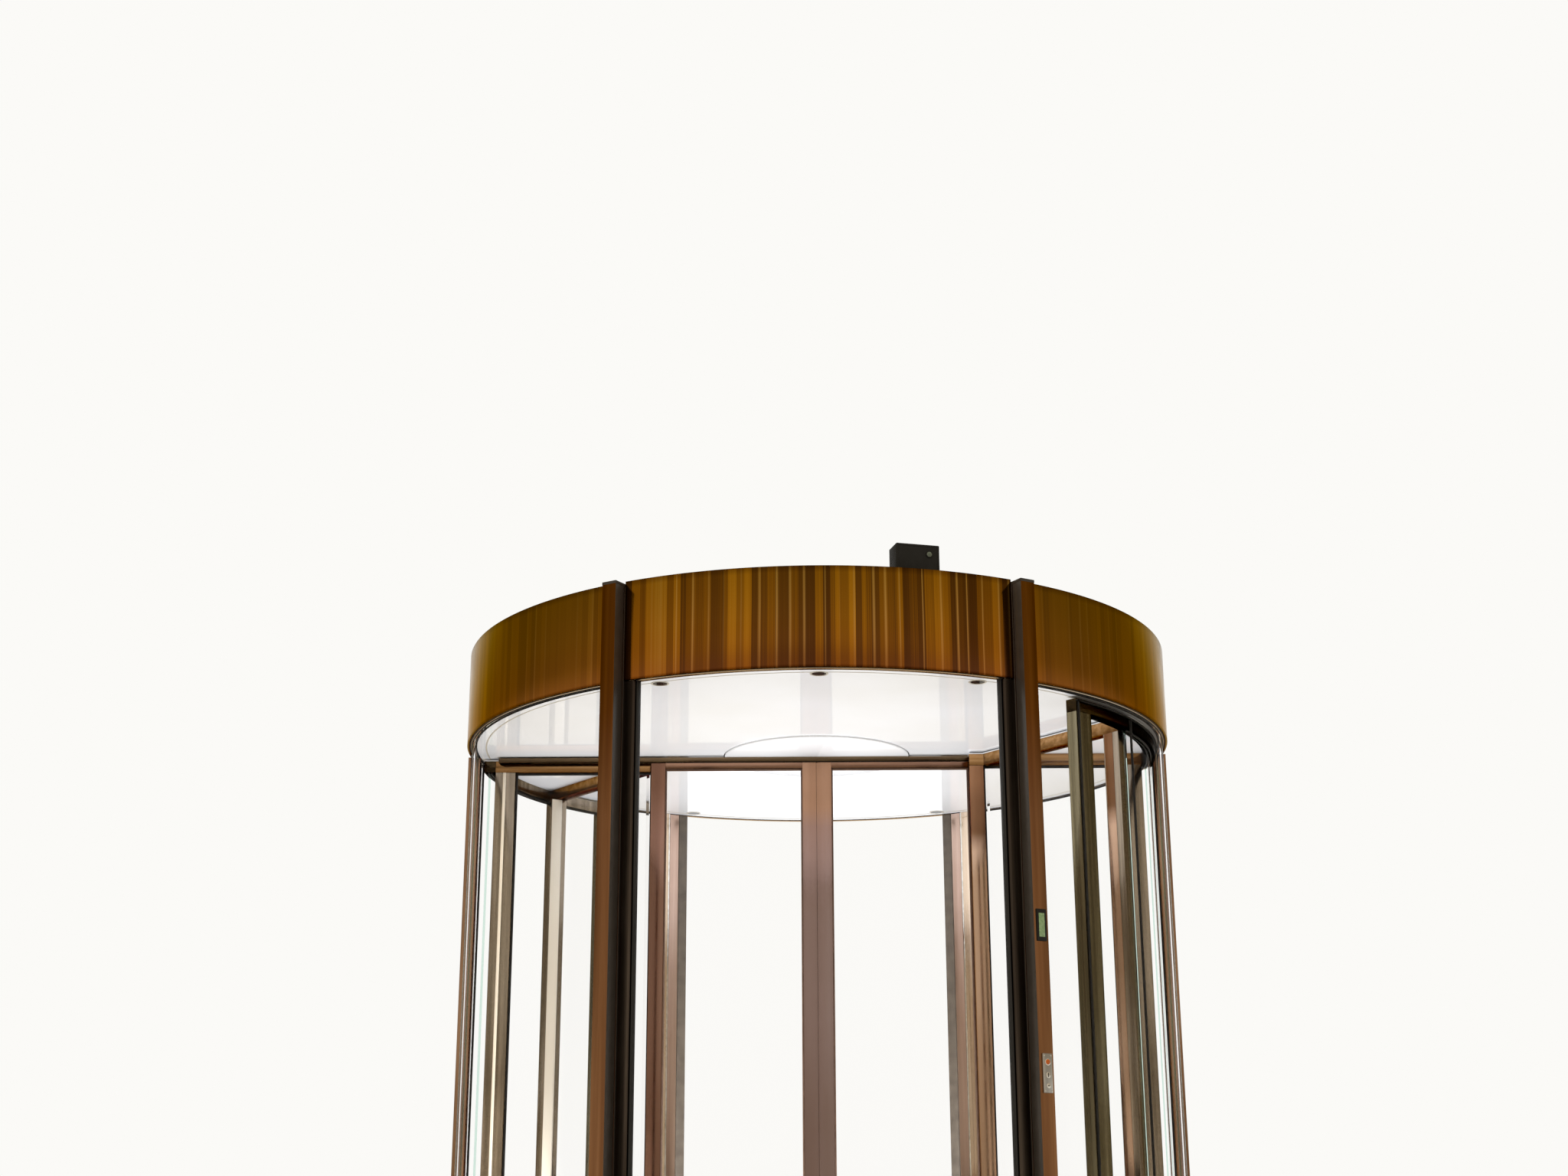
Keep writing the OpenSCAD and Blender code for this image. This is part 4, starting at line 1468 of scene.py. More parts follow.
@dataclass
class SwitchPanel(SubAssembly):
    """The key switch panel and the status window on the right lobby post."""

    sizes: DrumSizes
    half_w: float = 24.0
    plate_t: float = 9.0
    cap_drop: float = 36.0
    lower_key_rise: float = 30.0
    window_foot: float = 1640.0
    window_top: float = 1742.0
    window_half_w: float = 15.0

    @property
    def place(self) -> Matrix:
        """Puts what is built towards +X on the post's face."""
        return quadrant(False, False) @ about_axis(self.sizes.post_deg)

    def build(self) -> None:
        """Builds the plate with its push cap and keyways, and the window above it."""
        low, high = (corner.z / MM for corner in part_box("switch_panel"))
        x = self.sizes.post_outer_r
        face = x + self.plate_t
        plate = bar((x, -self.half_w, low), (face, self.half_w, high), 2.5)
        self.add("switch_panel_plate", plate, SATIN_STEEL, "satin_steel", "switch_panel")
        middle, cap_z, lower_z = (low + high) / 2, high - self.cap_drop, low + self.lower_key_rise
        collars = joined(
            rounded(rod(radius, (face - 0.5, 0, z), length, "X"), 0.6)
            for radius, z, length in ((15, cap_z, 2), (13, middle - 8, 2.4), (11, lower_z, 2.4))
        )
        self.add("switch_panel_collars", collars, BRIGHT_STEEL, "satin_steel")
        cap = rounded(rod(11, (face, 0, cap_z), 3, "X"), 1.0)
        self.add("switch_panel_push_cap", cap, AMBER_CAP, "black_plastic")
        keys = joined(
            bar((face + 1, -half, z0), (face + 2.6, half, z1), 0.6)
            for half, z0, z1 in ((2, middle - 17, middle + 1), (5, lower_z - 2, lower_z + 2))
        )
        self.add("switch_panel_keyways", keys, RUBBER, "black_plastic")
        screws = joined(
            rounded(rod(3, (face - 0.2, side * 17, z), 1.4, "X", 20), 0.5)
            for side in (-1, 1)
            for z in (low + 9, high - 9)
        )
        self.add("switch_panel_screws", screws, BRIGHT_STEEL, "satin_steel")
        half, foot, top = self.window_half_w, self.window_foot, self.window_top
        frame = bar((x, -half - 11, foot - 18), (x + 6, half + 11, top + 18), 2)
        self.add("status_window_frame", frame, HOUSING, "black_plastic")
        window = bar((x + 5, -half, foot), (x + 7, half, top), 1)
        self.add("status_window", window, GREEN_LENS, "black_plastic")


@dataclass
class SideWalls(SubAssembly):
    """The fixed curved glass, its seals and sills."""

    sizes: DrumSizes
    seal: float = 5.0
    seal_h: float = 11.0
    top_seal_h: float = 4.0
    gap_deg: float = 0.05

    def build(self) -> None:
        """Builds the four quarters of the side walls."""
        s = self.sizes
        r0, r1 = s.glass_r - s.glass_t / 2, s.glass_r + s.glass_t / 2
        start = math.degrees(math.asin(s.wall_post_d / 2 / r0)) + self.gap_deg
        end = s.post_deg - math.degrees(math.asin(s.post_w / 2 / r0)) - self.gap_deg
        low, high = s.sill_top, s.head_z
        sill = [
            (s.throat_r + 1, s.floor_t),
            (s.inner_r, s.floor_t),
            (s.inner_r, low - 8),
            (s.inner_r - 5, low),
            (s.throat_r + 6, low),
            (s.throat_r + 1, low - 8),
        ]
        seals, sills = [], {True: [], False: []}
        for left, street in QUARTERS:
            place = quadrant(left, street)
            name = f"drum_glass_{end_name(street)}_{side_name(left)}"
            pane = moved(rounded(spun(rect(r0, r1, low, high), start, end), 0.8, 1), place)
            self.add(f"{name}_pane", pane, CURVED_GLASS, "clear_glass", name, **PANE)
            for z0, z1 in ((low, low + self.seal_h), (high - self.top_seal_h, high)):
                for inner, outer in ((r0 - self.seal, r0 - 0.2), (r1 + 0.2, r1 + self.seal)):
                    seals.append(moved(spun(rect(inner, outer, z0, z1), start, end), place))
            sills[left].append(moved(rounded(spun(sill, start, end), 1.0), place))
        self.add("drum_glass_seals", joined(seals), RUBBER, "black_rubber")
        for left, parts in sills.items():
            name = f"drum_sills_{side_name(left)}"
            self.add(f"{name}_profile", joined(parts), RING_BRONZE, "bronze_steel", name)


@dataclass
class Floor(SubAssembly):
    """The floor ring, its anchors and the entrance mat."""

    sizes: DrumSizes
    bar_pitch: float = 28.0
    bar_w: float = 5.0
    bar_h: float = 6.0
    pile_gap: float = 0.5
    frame_w: float = 14.0
    least_half: float = 60.0
    anchor_pcd: float = 3470.0
    anchor_count: int = 12

    def build(self) -> None:
        """Builds the pieces of the floor."""
        dress("floor_ring", RING_STEEL)
        radius, _, top = in_mm(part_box("entrance_mat"))[1]
        inner = radius - self.frame_w
        backing = spun(rect(PINHOLE, inner, 0, top - 4), step=2)
        self.add("mat_backing", backing, MAT_PILE, "ribbed_mat", "entrance_mat")
        frame = rounded(spun(rect(inner, radius, 0, top), step=2), 1.0)
        self.add("mat_frame", frame, RING_STEEL, "satin_steel")
        self.strips(inner, top)
        self.anchors()

    def strips(self, inner: float, top: float) -> None:
        """Builds the mat's scraper bars and the pile strips between them.

        Args:
            inner: The frame's inner radius.
            top: Height of the mat's top.
        """
        bars, piles = [], []
        count = int(inner * 2 / self.bar_pitch)
        for i in range(count):
            y = (i - (count - 1) / 2) * self.bar_pitch
            half = math.sqrt(max(0.0, (inner - 1) ** 2 - (abs(y) + self.bar_pitch / 2) ** 2))
            if half < self.least_half:
                continue
            edge, foot = y + self.bar_w / 2, top - self.bar_h
            bars.append(bar((-half, y - self.bar_w / 2, foot), (half, edge, top), 0.8, 1))
            last = edge + self.bar_pitch - self.bar_w - self.pile_gap
            piles.append(bar((-half, edge + self.pile_gap, foot), (half, last, top - 1), 2.0, 1))
        self.add("mat_scraper_bars", joined(bars), MAT_BAR, "satin_steel")
        self.add("mat_pile_strips", joined(piles), MAT_PILE, "ribbed_mat")

    def anchors(self) -> None:
        """Builds the anchors' heads with their sockets."""
        bolts = []
        top = self.sizes.floor_t
        for i in range(self.anchor_count):
            turn = math.tau * (i + 0.5) / self.anchor_count
            x, y = (self.anchor_pcd / 2 * f(turn) for f in (math.cos, math.sin))
            bolts.append(rounded(rod(6.6, (x, y, top - 9), 8.2), 0.8))
            bolts.append(rounded(rod(3, (x, y, top - 1.2), 0.9, sides=6), 0.3))
        self.add("floor_anchor_heads", joined(bolts), BRIGHT_STEEL, "satin_steel")


@dataclass
class CaseSizes:
    """The plan of the right showcase, as the frame's source has it."""

    rotor_r: float = 1735.0
    arc_inner_r: float = 1675.0
    flat_y: float = -25.0
    rail_d: float = 68.0
    jamb_x: float = 785.0
    jamb_w: float = 74.0
    flat_post_w: float = 103.0
    slant_post_w: float = 100.0
    slant_inset: float = 18.0
    slant_deg: float = -30.7
    tail_deg: float = -46.7
    tail_post_w: float = 111.0
    skirt_z: float = 30.0
    plinth_z: float = 450.0
    rail_z: float = 2728.0
    rail_top: float = 2788.0
    tail_rail_top: float = 120.0
    glass_t: float = 12.0

    @property
    def inner_y(self) -> float:
        """The inner face of the flat side's rail."""
        return self.flat_y - self.rail_d

    @property
    def jamb_end(self) -> float:
        """Where the jamb ends."""
        return self.jamb_x + self.jamb_w

    @property
    def flat_end(self) -> float:
        """Where the flat side's inner face meets the curved rail."""
        return math.sqrt(self.arc_inner_r**2 - self.inner_y**2)

    @property
    def flat_post_x(self) -> float:
        """Where the flat side's corner post starts."""
        return self.flat_end - self.flat_post_w

    @property
    def slant_start(self) -> Vector:
        """Where the slanted side starts."""
        return Vector((self.jamb_x + self.slant_inset, self.flat_y, 0))

    @property
    def slant_end(self) -> Vector:
        """Where the slanted side meets the curved rail."""
        return self.on_arc(self.arc_inner_r, self.slant_deg)

    @property
    def slant_length(self) -> float:
        """The slanted side's length."""
        return (self.slant_end - self.slant_start).length

    @property
    def slant_post_x(self) -> float:
        """Where the slanted side's corner post starts, along that side."""
        return self.slant_length - self.slant_post_w

    @property
    def slant_place(self) -> Matrix:
        """Puts a strip along +X with its depth towards +Y on the slanted side."""
        way = self.slant_end - self.slant_start
        return Matrix.Translation(self.slant_start) @ Matrix.Rotation(math.atan2(way.y, way.x), 4, "Z")

    @property
    def flat_start_deg(self) -> float:
        """The angle of the curved rail's end at the flat side."""
        return math.degrees(math.asin(self.flat_y / self.rotor_r))

    @property
    def tail_post_deg(self) -> float:
        """The angle where the tail post ends."""
        return self.tail_deg + math.degrees(self.tail_post_w / (self.rotor_r + self.arc_inner_r) * 2)

    @staticmethod
    def on_arc(radius: float, degrees: float) -> Vector:
        """A point on an arc about the axis."""
        turn = math.radians(degrees)
        return Vector((radius * math.cos(turn), radius * math.sin(turn), 0))

    def ring(self, low: float, high: float, gap: float = 0.0) -> Outline:
        """The curved side's section between two heights."""
        return rect(self.arc_inner_r + gap, self.rotor_r, low, high)

    def flat_plan(self, start: float) -> Outline:
        """The flat side's plan up to the curved rail.

        Args:
            start: The X where it starts.

        Returns:
            The plan's points.
        """
        outer_end = math.sqrt(self.arc_inner_r**2 - self.flat_y**2)
        ends = [(self.flat_end, self.inner_y), (outer_end, self.flat_y)]
        return [(start, self.inner_y), *ends, (start, self.flat_y)]

    def plan(self, steps: int = 30) -> Outline:
        """The plinth's plan without the jamb.

        Args:
            steps: How many chords make the curved side.

        Returns:
            The plan's points.
        """
        first, span = self.flat_start_deg, self.slant_deg - self.flat_start_deg
        arc = [self.on_arc(self.rotor_r, first + span * i / steps) for i in range(steps + 1)]
        return [(p.x, p.y) for p in (self.slant_start, *arc, self.slant_end)]


@dataclass
class Showcase(SubAssembly):
    """One showcase of the rotor, with its tail."""

    sizes: CaseSizes
    left: bool
    kick_h: float = 78.0
    kick_gap: float = 4.0
    cap_h: float = 14.0
    cap_gap: float = 3.0
    gap_inset: float = 8.0
    shelf_inset: float = 72.0
    overrun: float = 60.0
    trim_deg: float = 1.5
    slant_gap_deg: float = 0.15
    flat_gap_deg: float = 0.25
    seal_w: float = 5.0
    seal_h: float = 9.0
    brush_reach: float = 11.5
    brush_h: float = 6.0
    bristle_play: float = 1.6
    bristle_count: int = 700

    @property
    def body(self) -> str:
        """The body that the pieces ride on."""
        return "rotor"

    @property
    def prefix(self) -> str:
        """What the pieces' names start with."""
        return f"{side_name(self.left)}_case_"

    @property
    def place(self) -> Matrix:
        """Where this showcase's pieces go."""
        return half_turn(self.left)

    def node(self, kind: str) -> str:
        """The name of one of this showcase's CAD nodes."""
        return f"case_{kind}_{side_name(self.left)}"

    def build(self) -> None:
        """Builds the showcase from the floor up."""
        self.plinth()
        self.posts()
        self.rails()
        self.glass()
        self.brushes()
        dress(self.node("top"), GLOSS_WHITE)

    def slab(self, low: float, high: float, inset: float = 0.0) -> Mesh:
        """A slab of the plinth's plan, with its sides standing back by the inset."""
        return extruded(self.sizes.plan(), low, high, inset)

    def plinth(self) -> None:
        """Builds the clad plinth, its kick plate, cap and shelf, and the tail's bottom rail."""
        s = self.sizes
        kick_top, cap_z = s.skirt_z + self.kick_h, s.plinth_z - self.cap_h
        foot, top = kick_top + self.kick_gap, cap_z - self.cap_gap
        cladding = rounded(self.slab(foot, top), 2.0)
        self.add("plinth_cladding", cladding, JAMB_BRONZE, "rotor_bronze", self.node("plinth"))
        kick = rounded(self.slab(s.skirt_z + 6, kick_top, 3.0), 1.0)
        self.add("plinth_kick_plate", kick, REVEAL_BLACK, "rotor_bronze")
        gaps = joined(self.slab(*heights, self.gap_inset) for heights in ((kick_top, foot), (top, cap_z)))
        self.add("plinth_shadow_gaps", gaps, RUBBER, "black_rubber")
        self.add("plinth_cap", rounded(self.slab(cap_z, s.plinth_z), 2.0), RAIL_BRONZE, "rotor_bronze")
        shelf = rounded(self.slab(s.plinth_z - 2, s.plinth_z + 3, self.shelf_inset), 1.5)
        self.add("shelf", shelf, SHELF_WHITE, "white_gloss")
        jamb = bar((s.jamb_x, s.inner_y, s.skirt_z), (s.jamb_end, s.flat_y, s.plinth_z), 2.5)
        self.add("plinth_jamb", jamb, JAMB_BRONZE, "rotor_bronze")
        tail = rounded(spun(s.ring(s.skirt_z, s.tail_rail_top), s.tail_deg, s.slant_deg - 0.02), 2.5)
        self.add("tail_bottom_rail", tail, ARC_BRONZE, "rotor_bronze")

    def posts(self) -> None:
        """Builds the jamb, the two corner posts and the tail post."""
        s = self.sizes
        low, high = s.plinth_z, s.rail_z
        jamb = bar((s.jamb_x, s.inner_y, low), (s.jamb_end, s.flat_y, high), 3)
        self.add("jamb", jamb, JAMB_BRONZE, "rotor_bronze", self.node("posts"))
        corner = rounded(extruded(s.flat_plan(s.flat_post_x), low, high), 3)
        self.add("flat_corner_post", corner, OLIVE_BRONZE, "rotor_bronze")
        foot, top = low + 1, high - 1
        # A pale strip down the flat corner post's face: a painted highlight
        x = s.flat_end - s.flat_post_w * 0.52
        cover = bar((x, s.flat_y - 0.5, foot), (x + 15, s.flat_y + 1.2, top), 0.8)
        self.add("flat_post_painted_highlight", cover, CREAM_STRIP_AND_HIGHLIGHT, "rotor_bronze")
        x = s.slant_post_x
        corner = block((x, 0, low), (s.slant_length + self.overrun, s.slant_post_w, high))
        self.add("slant_corner_post", rounded(self.trimmed(corner), 3), OLIVE_BRONZE, "rotor_bronze")
        cover = bar((x - 1.2, 30, foot), (x + 0.5, s.slant_post_w - 4, top), 0.8)
        self.add("slant_post_cover", moved(cover, s.slant_place), CREAM_STRIP_AND_HIGHLIGHT, "rotor_bronze")
        plate = bar((x + 8, -1.2, foot), (x + 62, 0.5, top), 0.8)
        self.add("slant_post_plate", moved(plate, s.slant_place), JAMB_BRONZE, "rotor_bronze")
        tail = rounded(spun(s.ring(s.tail_rail_top, high), s.tail_deg, s.tail_post_deg, 0.6), 3)
        self.add("tail_post", tail, TAIL_BRONZE, "rotor_bronze")

    def trimmed(self, bm: Mesh) -> Mesh:
        """Puts a piece on the slanted side and trims its end along the curved rail.

        Args:
            bm: The piece along +X.

        Returns:
            The same mesh.
        """
        s = self.sizes
        end, way = s.slant_end, s.on_arc(1.0, s.slant_deg + self.trim_deg)
        return cut(moved(bm, s.slant_place), (end.x, end.y, 0), (way.x, way.y, 0))

    def rails(self) -> None:
        """Builds the flat, slanted and curved rails under the top panel."""
        s = self.sizes
        low, high = s.rail_z, s.rail_top
        flat = rounded(extruded(s.flat_plan(s.jamb_x), low, high), 2.5)
        self.add("flat_rail", flat, RAIL_BRONZE, "rotor_bronze", self.node("rails"))
        slant = self.trimmed(block((0, 0, low), (s.slant_length + self.overrun, s.rail_d, high)))
        slant = cut(slant, (s.jamb_end + 0.3, 0, 0), (-1, 0, 0))
        slant = cut(slant, (0, s.inner_y - 0.3, 0), (0, 1, 0))
        self.add("slant_rail", rounded(slant, 2.5), RAIL_BRONZE, "rotor_bronze")
        curve = rounded(spun(s.ring(low, high, 0.2), s.tail_deg, s.flat_start_deg), 2.5)
        self.add("curved_rail", curve, ARC_BRONZE, "rotor_bronze", others=[OLIVE_BRONZE], choose=faces_in)

    def glass(self) -> None:
        """Builds the straight and curved panes with their seals."""
        s = self.sizes
        low, high, wide, lip = s.plinth_z, s.rail_z, self.seal_w, self.seal_h
        near = s.rail_d / 2 - s.glass_t / 2
        far = near + s.glass_t
        start, end = s.jamb_end, s.flat_post_x
        flat = block((start, s.flat_y - far, low), (end, s.flat_y - near, high))
        self.add("flat_pane", flat, GLASS, "clear_glass", self.node("panes"), **PANE)
        slant = moved(block((0, near, low), (s.slant_post_x, far, high)), s.slant_place)
        slant = cut(slant, (start, 0, 0), (-1, 0, 0))
        slant = cut(slant, (0, s.flat_y - far - 6, 0), (0, 1, 0))
        self.add("slant_pane", slant, GLASS, "clear_glass", **PANE)
        middle = (s.arc_inner_r + s.rotor_r) / 2
        r0, r1 = middle - s.glass_t / 2, middle + s.glass_t / 2
        first, last = s.slant_deg + self.slant_gap_deg, s.flat_start_deg - self.flat_gap_deg
        curve = spun(rect(r0, r1, low, high), first, last, 0.75)
        self.add("curved_pane", curve, CURVED_GLASS, "clear_glass", self.node("curved_glass"), **PANE)
        tail_end = s.slant_deg - self.slant_gap_deg
        tail = spun(rect(r0, r1, s.tail_rail_top, high), s.tail_post_deg, tail_end, 0.75)
        self.add("tail_pane", tail, CURVED_GLASS, "clear_glass", **PANE)
        strips = []
        for y0, y1 in ((s.flat_y - near, s.flat_y - near + wide), (s.flat_y - far - wide, s.flat_y - far)):
            strips += border((start, y0, low), (end, y1, high), lip)
        for foot, top in ((low, low + lip), (high - lip, high)):
            for inner, outer in ((r0 - wide, r0), (r1, r1 + wide)):
                strips.append(spun(rect(inner, outer, foot, top), first, last))
        self.add("glass_seals", joined(strips), RUBBER, "black_rubber")

    def brushes(self) -> None:
        """Builds the brush seals on the rotor's rim and at its outer corners."""
        s = self.sizes
        rng = random.Random(7)
        root, reach = s.rotor_r + 2, s.rotor_r + self.brush_reach
        brushes = []
        for low in (s.rail_top - 14, s.skirt_z + 12):
            section = rect(s.rotor_r, reach, low, low + self.brush_h)
            brush = spun(section, s.tail_deg, s.flat_start_deg, 0.12)
            for v in in_order(brush):
                out = math.hypot(v.co.x, v.co.y)
                if out > root:
                    pull = 1 - rng.uniform(0, self.bristle_play) / out
                    v.co.x *= pull
                    v.co.y *= pull
            brushes.append(brush)
        half = self.brush_h / 2
        for turn in (s.tail_deg + 0.35, s.slant_deg, s.flat_start_deg - 0.35):
            stem = block((s.rotor_r, -half, s.skirt_z + 20), (reach, half, s.rail_top - 16))
            cuts = [e for e in stem.edges if abs(e.verts[0].co.z - e.verts[1].co.z) > 10]
            bmesh.ops.subdivide_edges(stem, edges=cuts, cuts=self.bristle_count, use_grid_fill=True)
            for v in in_order(stem):
                if v.co.x > root:
                    v.co.x -= rng.uniform(0, self.bristle_play)
            brushes.append(moved(stem, about_axis(turn)))
        self.add("brush_seals", joined(brushes), BRISTLE, "black_rubber", smooth_deg=10)


@dataclass
class Hub(SubAssembly):
    """The ceiling's centre disc, the shaft it hangs from and the header under it."""

    flat_y: float = 25.0
    slot_w: float = 18.0
    channel_w: float = 36.0
    lip_h: float = 6.0
    channel_h: float = 12.0
    track_x: float = 1490.0
    shaft_r: float = 60.0
    collar_r: float = 95.0
    collar_h: float = 30.0

    @property
    def body(self) -> str:
        """The body that the pieces ride on."""
        return "rotor"

    def build(self) -> None:
        """Builds the disc, the shaft and the header."""
        low, high = in_mm(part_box("rotor_hub"))
        radius, z = high.x, low.z
        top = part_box("ceiling")[1].z / MM
        disc = rounded(spun(rect(PINHOLE, radius, z, top), step=2), 1.5)
        self.add("hub_disc", disc, GLOSS_WHITE, "white_gloss", "rotor_hub")
        rim = spun(rect(radius - 9, radius - 3, z - 0.8, z), step=2)
        self.add("hub_disc_rim", rim, GLOSS_WHITE, "white_gloss")
        collar_z = high.z - self.collar_h
        shaft = rod(self.shaft_r, (0, 0, top), collar_z - top, sides=64)
        collar = rounded(rod(self.collar_r, (0, 0, collar_z), self.collar_h, sides=64), 2)
        self.add("hub_shaft", joined([shaft, collar]), SATIN_STEEL, "white_gloss")
        self.header()

    def header(self) -> None:
        """Builds the header with its track, and the solid stretches at its ends."""
        low, high = in_mm(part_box("rotor_header"))
        x, y, z0, z1 = self.track_x, self.flat_y, low.z, high.z
        neck, wide = self.slot_w / 2, self.channel_w / 2
        lip = z0 + self.lip_h
        half = [(y, z1), (y, z0), (neck, z0), (neck, lip), (wide, lip), (wide, lip + self.channel_h)]
        track = extruded(half + [(-a, b) for a, b in reversed(half)], -x, x)
        along_x = Matrix(((0, 0, 1, 0), (1, 0, 0, 0), (0, 1, 0, 0), (0, 0, 0, 1)))
        ends = block((-high.x, -y, z0), (-x, y, z1)), block((x, -y, z0), (high.x, y, z1))
        header = joined(rounded(part, 1.2) for part in (moved(track, along_x), *ends))
        self.add("header_track", header, HEADER_BRONZE, "satin_steel", "rotor_header")


@dataclass
class Leaf(SubAssembly):
    """One sliding leaf: frame, glass, seals and hangers."""

    left: bool
    thick: float = 40.0
    first_x: float = 3.0
    meeting_w: float = 72.0
    outer_w: float = 74.0
    top_h: float = 30.0
    lip: float = 5.0
    foot_h: float = 100.0
    glass_t: float = 12.0
    bead_w: float = 6.0
    bead_h: float = 8.0
    hanger_l: float = 90.0
    neck_t: float = 8.0
    head_t: float = 26.0
    head_h: float = 6.7

    @property
    def body(self) -> str:
        """The body that the pieces ride on."""
        return f"{side_name(self.left)}_leaf"

    @property
    def prefix(self) -> str:
        """What the pieces' names start with."""
        return f"{side_name(self.left)}_leaf_"

    @property
    def place(self) -> Matrix:
        """Where this leaf's pieces go."""
        return half_turn(self.left)

    def build(self) -> None:
        """Builds the leaf."""
        low, high = in_mm(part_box("leaf_frame_right"))
        pane_low, pane_high = in_mm(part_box("leaf_glass_right"))
        side, t, g = side_name(self.left), self.thick / 2, self.glass_t / 2
        x0, x1, z0, z1 = self.first_x, high.x, low.z, pane_high.z + self.top_h
        inner_0, inner_1 = x0 + self.meeting_w, x1 - self.outer_w
        nib = bar((x0 - self.lip, 0.3 - t, z0 + 2), (x0 + 5, 5 - t, z1 - 2), 0.5)
        meeting = joined([bar((x0, -t, z0), (inner_0, t, z1), 1.0), nib])
        self.add("meeting_stile", meeting, ROSE_BRONZE, "rotor_bronze", f"leaf_frame_{side}")
        outer = bar((inner_1, -t, z0), (x1, t, z1), 2.0)
        self.add("outer_stile", outer, STILE_BRONZE, "rotor_bronze")
        top_rail = bar((inner_0, -t, z1 - self.top_h), (inner_1, t, z1), 1.5)
        foot_rail = bar((inner_0, -t, z0), (inner_1, t, z0 + self.foot_h), 2.0)
        self.add("rails", joined([top_rail, foot_rail]), LEAF_BRONZE, "rotor_bronze")
        seal = bar((x0 - 2.4, -7, z0 + 2), (x0 + 1, 7, z1 - 2), 0.8)
        self.add("meeting_seal", seal, SEAL_BROWN, "black_rubber")
        pane = block((inner_0, -g, pane_low.z), (inner_1, g, pane_high.z))
        self.add("pane", pane, GLASS, "clear_glass", f"leaf_glass_{side}", **PANE)
        beads = []
        for y0, y1 in ((-g - self.bead_w, -g), (g, g + self.bead_w)):
            beads += border((inner_0, y0, pane_low.z), (inner_1, y1, pane_high.z), self.bead_h)
        self.add("glazing_seals", joined(rounded(bead, 1.2) for bead in beads), BEAD_BROWN, "black_rubber")
        head_low = high.z - self.head_h
        neck, head = self.neck_t / 2, self.head_t / 2
        hangers = []
        for x in (inner_0, inner_1 - self.hanger_l):
            end = x + self.hanger_l
            hangers.append(block((x, -neck, z1), (end, neck, head_low + 1)))
            hangers.append(bar((x, -head, head_low), (end, head, high.z), 1.0))
        self.add("hangers", joined(hangers), SATIN_STEEL, "satin_steel")


# Studio


@dataclass(frozen=True)
class Lamp:
    """A large soft lamp, which neither the camera nor the gloss sees."""

    name: str
    place: Point
    aim: Point
    size: float
    power: float
    colour: str = "#ffffff"

    def hang(self) -> None:
        """Adds the lamp to the scene."""
        data = bpy.data.lights.new(self.name, "AREA")
        data.shape = "DISK"
        data.size = self.size
        data.energy = self.power
        data.color = srgb(self.colour)[:3]
        thing = bpy.data.objects.new(self.name, data)
        thing.location = self.place
        way = Vector(self.aim) - Vector(self.place)
        thing.rotation_euler = way.to_track_quat("-Z", "Y").to_euler()
        thing.visible_camera = False
        thing.visible_glossy = False
        thing.visible_transmission = False
        bpy.context.scene.collection.objects.link(thing)


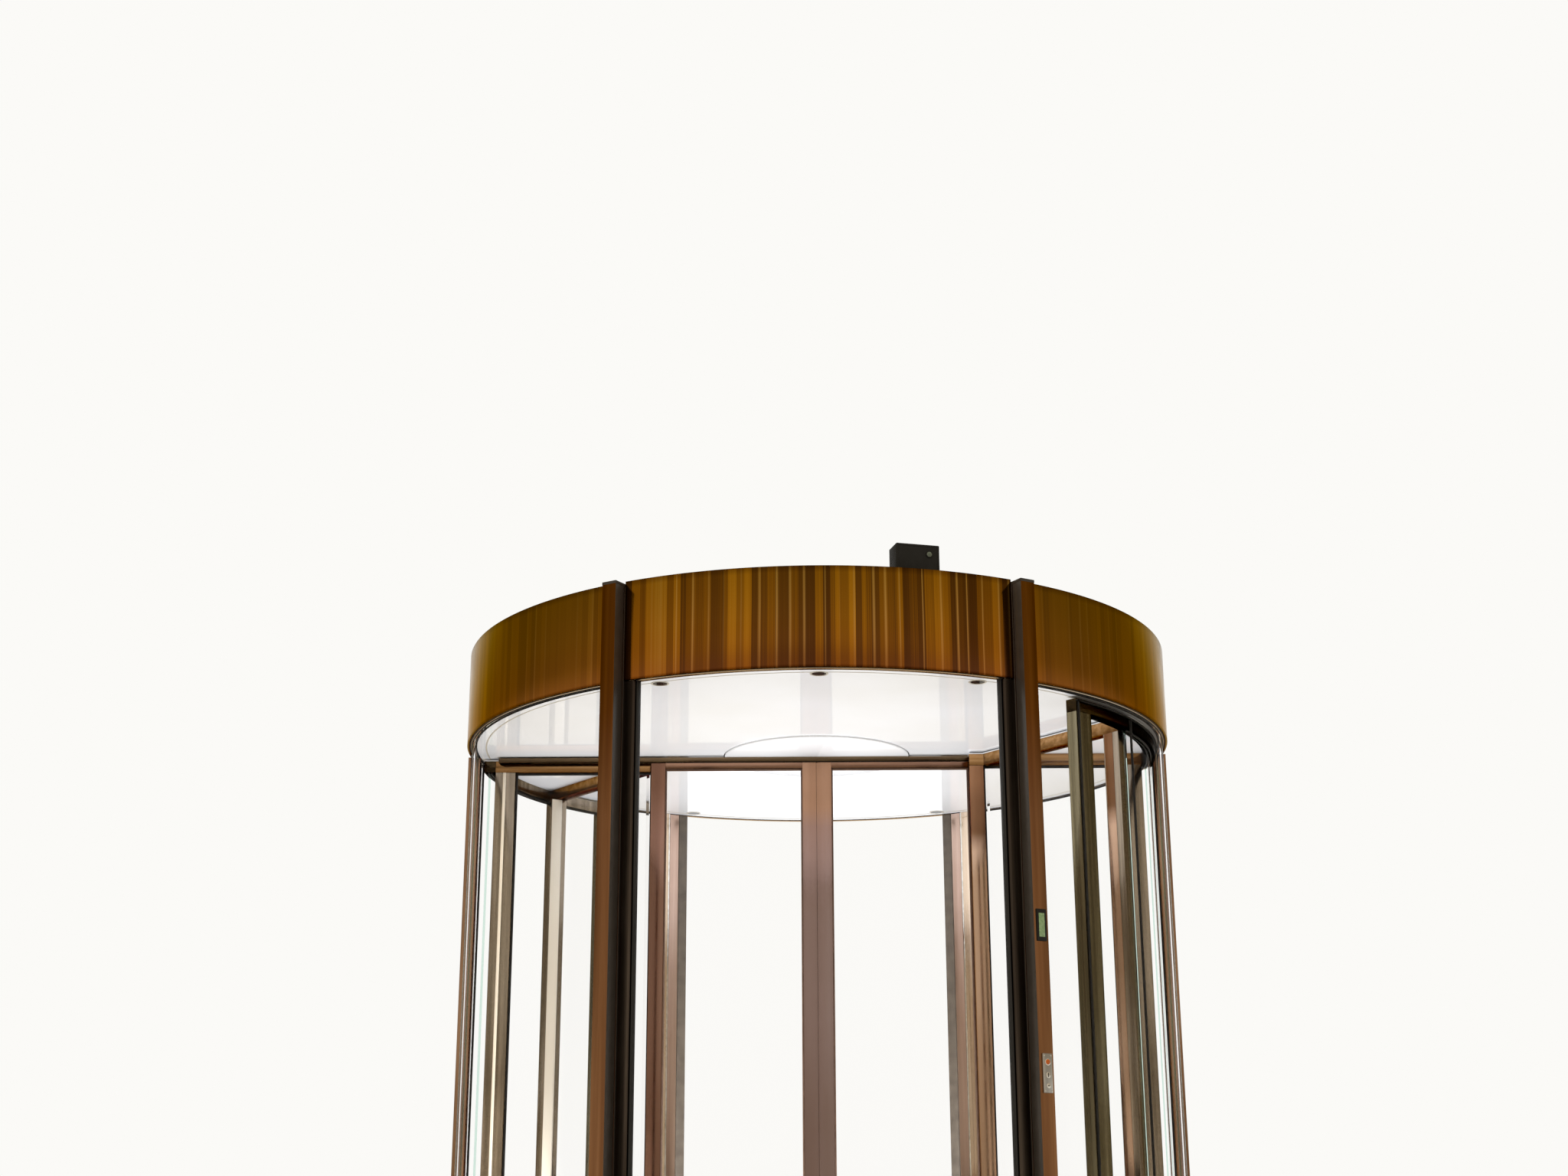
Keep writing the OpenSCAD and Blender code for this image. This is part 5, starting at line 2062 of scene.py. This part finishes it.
@dataclass
class Studio:
    """The camera, the floor and the light."""

    focal_mm: float = 48.07
    sensor_mm: float = 36.0
    place: Point = (-0.0871, -10.674, 0.411)
    pitch_deg: float = 17.217
    yaw: float = 0.00745
    roll: float = -0.00341
    floor_size: float = 80.0
    upper: Stops = (
        (0.0, "#d9d2c4"),
        (0.22, "#bcae9a"),
        (0.5, "#a09584"),
        (0.78, "#a39a88"),
        (0.95, "#ffffff"),
    )
    lower: Stops = ((0.0, "#bcb09c"), (0.5, "#d9d4ca"), (0.8, "#ffffff"), (1.0, "#ffffff"))
    lamps: tuple[Lamp, ...] = (
        Lamp("ceiling_wash", place=(0, 0, 0.47), aim=(0, 0, 3), size=3.3, power=124),
        Lamp("overhead", place=(0, 0, 9), aim=(0, 0, 0), size=8, power=400),
        Lamp("lobby_lamp", place=(-4, -8, 7), aim=(0, 0, 2), size=5, power=300, colour="#fff3e2"),
    )

    def build(self) -> None:
        """Sets up the studio."""
        self.camera()
        self.floor()
        self.surround()
        for lamp in self.lamps:
            lamp.hang()
        bpy.context.scene.view_settings.view_transform = "Standard"

    def camera(self) -> None:
        """Places the camera as the photograph was taken, low down and looking up."""
        data = bpy.data.cameras.new("camera")
        data.lens = self.focal_mm
        data.sensor_width = self.sensor_mm
        data.clip_end = 200
        thing = bpy.data.objects.new("camera", data)
        bpy.context.scene.collection.objects.link(thing)
        turn = Matrix.Rotation(self.yaw, 4, "Z") @ Matrix.Rotation(math.radians(90 + self.pitch_deg), 4, "X")
        thing.matrix_world = Matrix.Translation(self.place) @ turn @ Matrix.Rotation(self.roll, 4, "Z")
        bpy.context.scene.camera = thing

    def floor(self) -> None:
        """Lays a plain pale floor."""
        bm = bmesh.new()
        bmesh.ops.create_grid(bm, x_segments=1, y_segments=1, size=self.floor_size / 2)
        mesh = bpy.data.meshes.new("studio_floor")
        bm.to_mesh(mesh)
        bm.free()
        material = bpy.data.materials.new("studio_floor")
        material.use_nodes = True
        fill(material.node_tree.nodes["Principled BSDF"], {"Base Color": srgb("#e6e2da"), "Roughness": 0.7})
        mesh.materials.append(material)
        thing = bpy.data.objects.new("studio_floor", mesh)
        thing.location.z = -0.002
        thing.visible_glossy = False
        thing.visible_diffuse = False
        bpy.context.scene.collection.objects.link(thing)

    def surround(self) -> None:
        """Sets a white backdrop, and the softly graded walls of a studio for the gloss to mirror."""
        world = bpy.data.worlds.new("studio")
        world.use_nodes = True
        bpy.context.scene.world = world
        tree = world.node_tree
        way = add_node(tree, "TexCoord").outputs["Generated"]
        split = add_node(tree, "SeparateXYZ", links={0: way}).outputs
        depth = add_node(tree, "MapRange", {"From Min": -1.0}, {"Value": split["Y"]}).outputs[0]
        above, below = (
            add_node(tree, "ValToRGB", {"stops": stops}, {0: depth}).outputs["Color"]
            for stops in (self.upper, self.lower)
        )
        level = add_node(tree, "MapRange", {"From Min": -0.05, "From Max": 0.1}, {"Value": split["Z"]})
        mix = {"Factor": level.outputs[0], 6: below, 7: above}
        walls = add_node(tree, "Mix", {"data_type": "RGBA"}, mix)
        path = add_node(tree, "LightPath").outputs
        depths = {0: path["Glossy Depth"], 1: path["Diffuse Depth"]}
        bounces = add_node(tree, "Math", {"operation": "ADD"}, depths)
        direct = add_node(tree, "Math", {"operation": "LESS_THAN", 1: 0.5}, {0: bounces.outputs[0]})
        rays = {0: path["Is Camera Ray"], 1: path["Is Transmission Ray"]}
        seen = add_node(tree, "Math", {"operation": "MAXIMUM"}, rays)
        bare = add_node(tree, "Math", {"operation": "MULTIPLY"}, {0: direct.outputs[0], 1: seen.outputs[0]})
        mix = {"Factor": bare.outputs[0], 6: walls.outputs[2]}
        sky = add_node(tree, "Mix", {"data_type": "RGBA", 7: srgb("#fbfaf7")}, mix)
        tree.links.new(sky.outputs[2], tree.nodes["Background"].inputs["Color"])


def main() -> None:
    """Builds the studio and every sub-assembly."""
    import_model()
    bench = Bench()
    Studio().build()
    drum = DrumSizes()
    of_drum = (Canopy, RoofHousing, Posts, SwitchPanel, SideWalls, Floor)
    parts = [*(kind(bench, drum) for kind in of_drum), Hub(bench)]
    parts += [Showcase(bench, CaseSizes(), left) for left in BOTH]
    parts += [Leaf(bench, left) for left in BOTH]
    for part in parts:
        part.build()
        LOG.info("%s done", type(part).__name__)
    LOG.info("%d pieces, %d triangles", bench.count, bench.triangles)


if __name__ == "__main__":
    logging.basicConfig(level=logging.INFO, format="%(message)s")
    main()
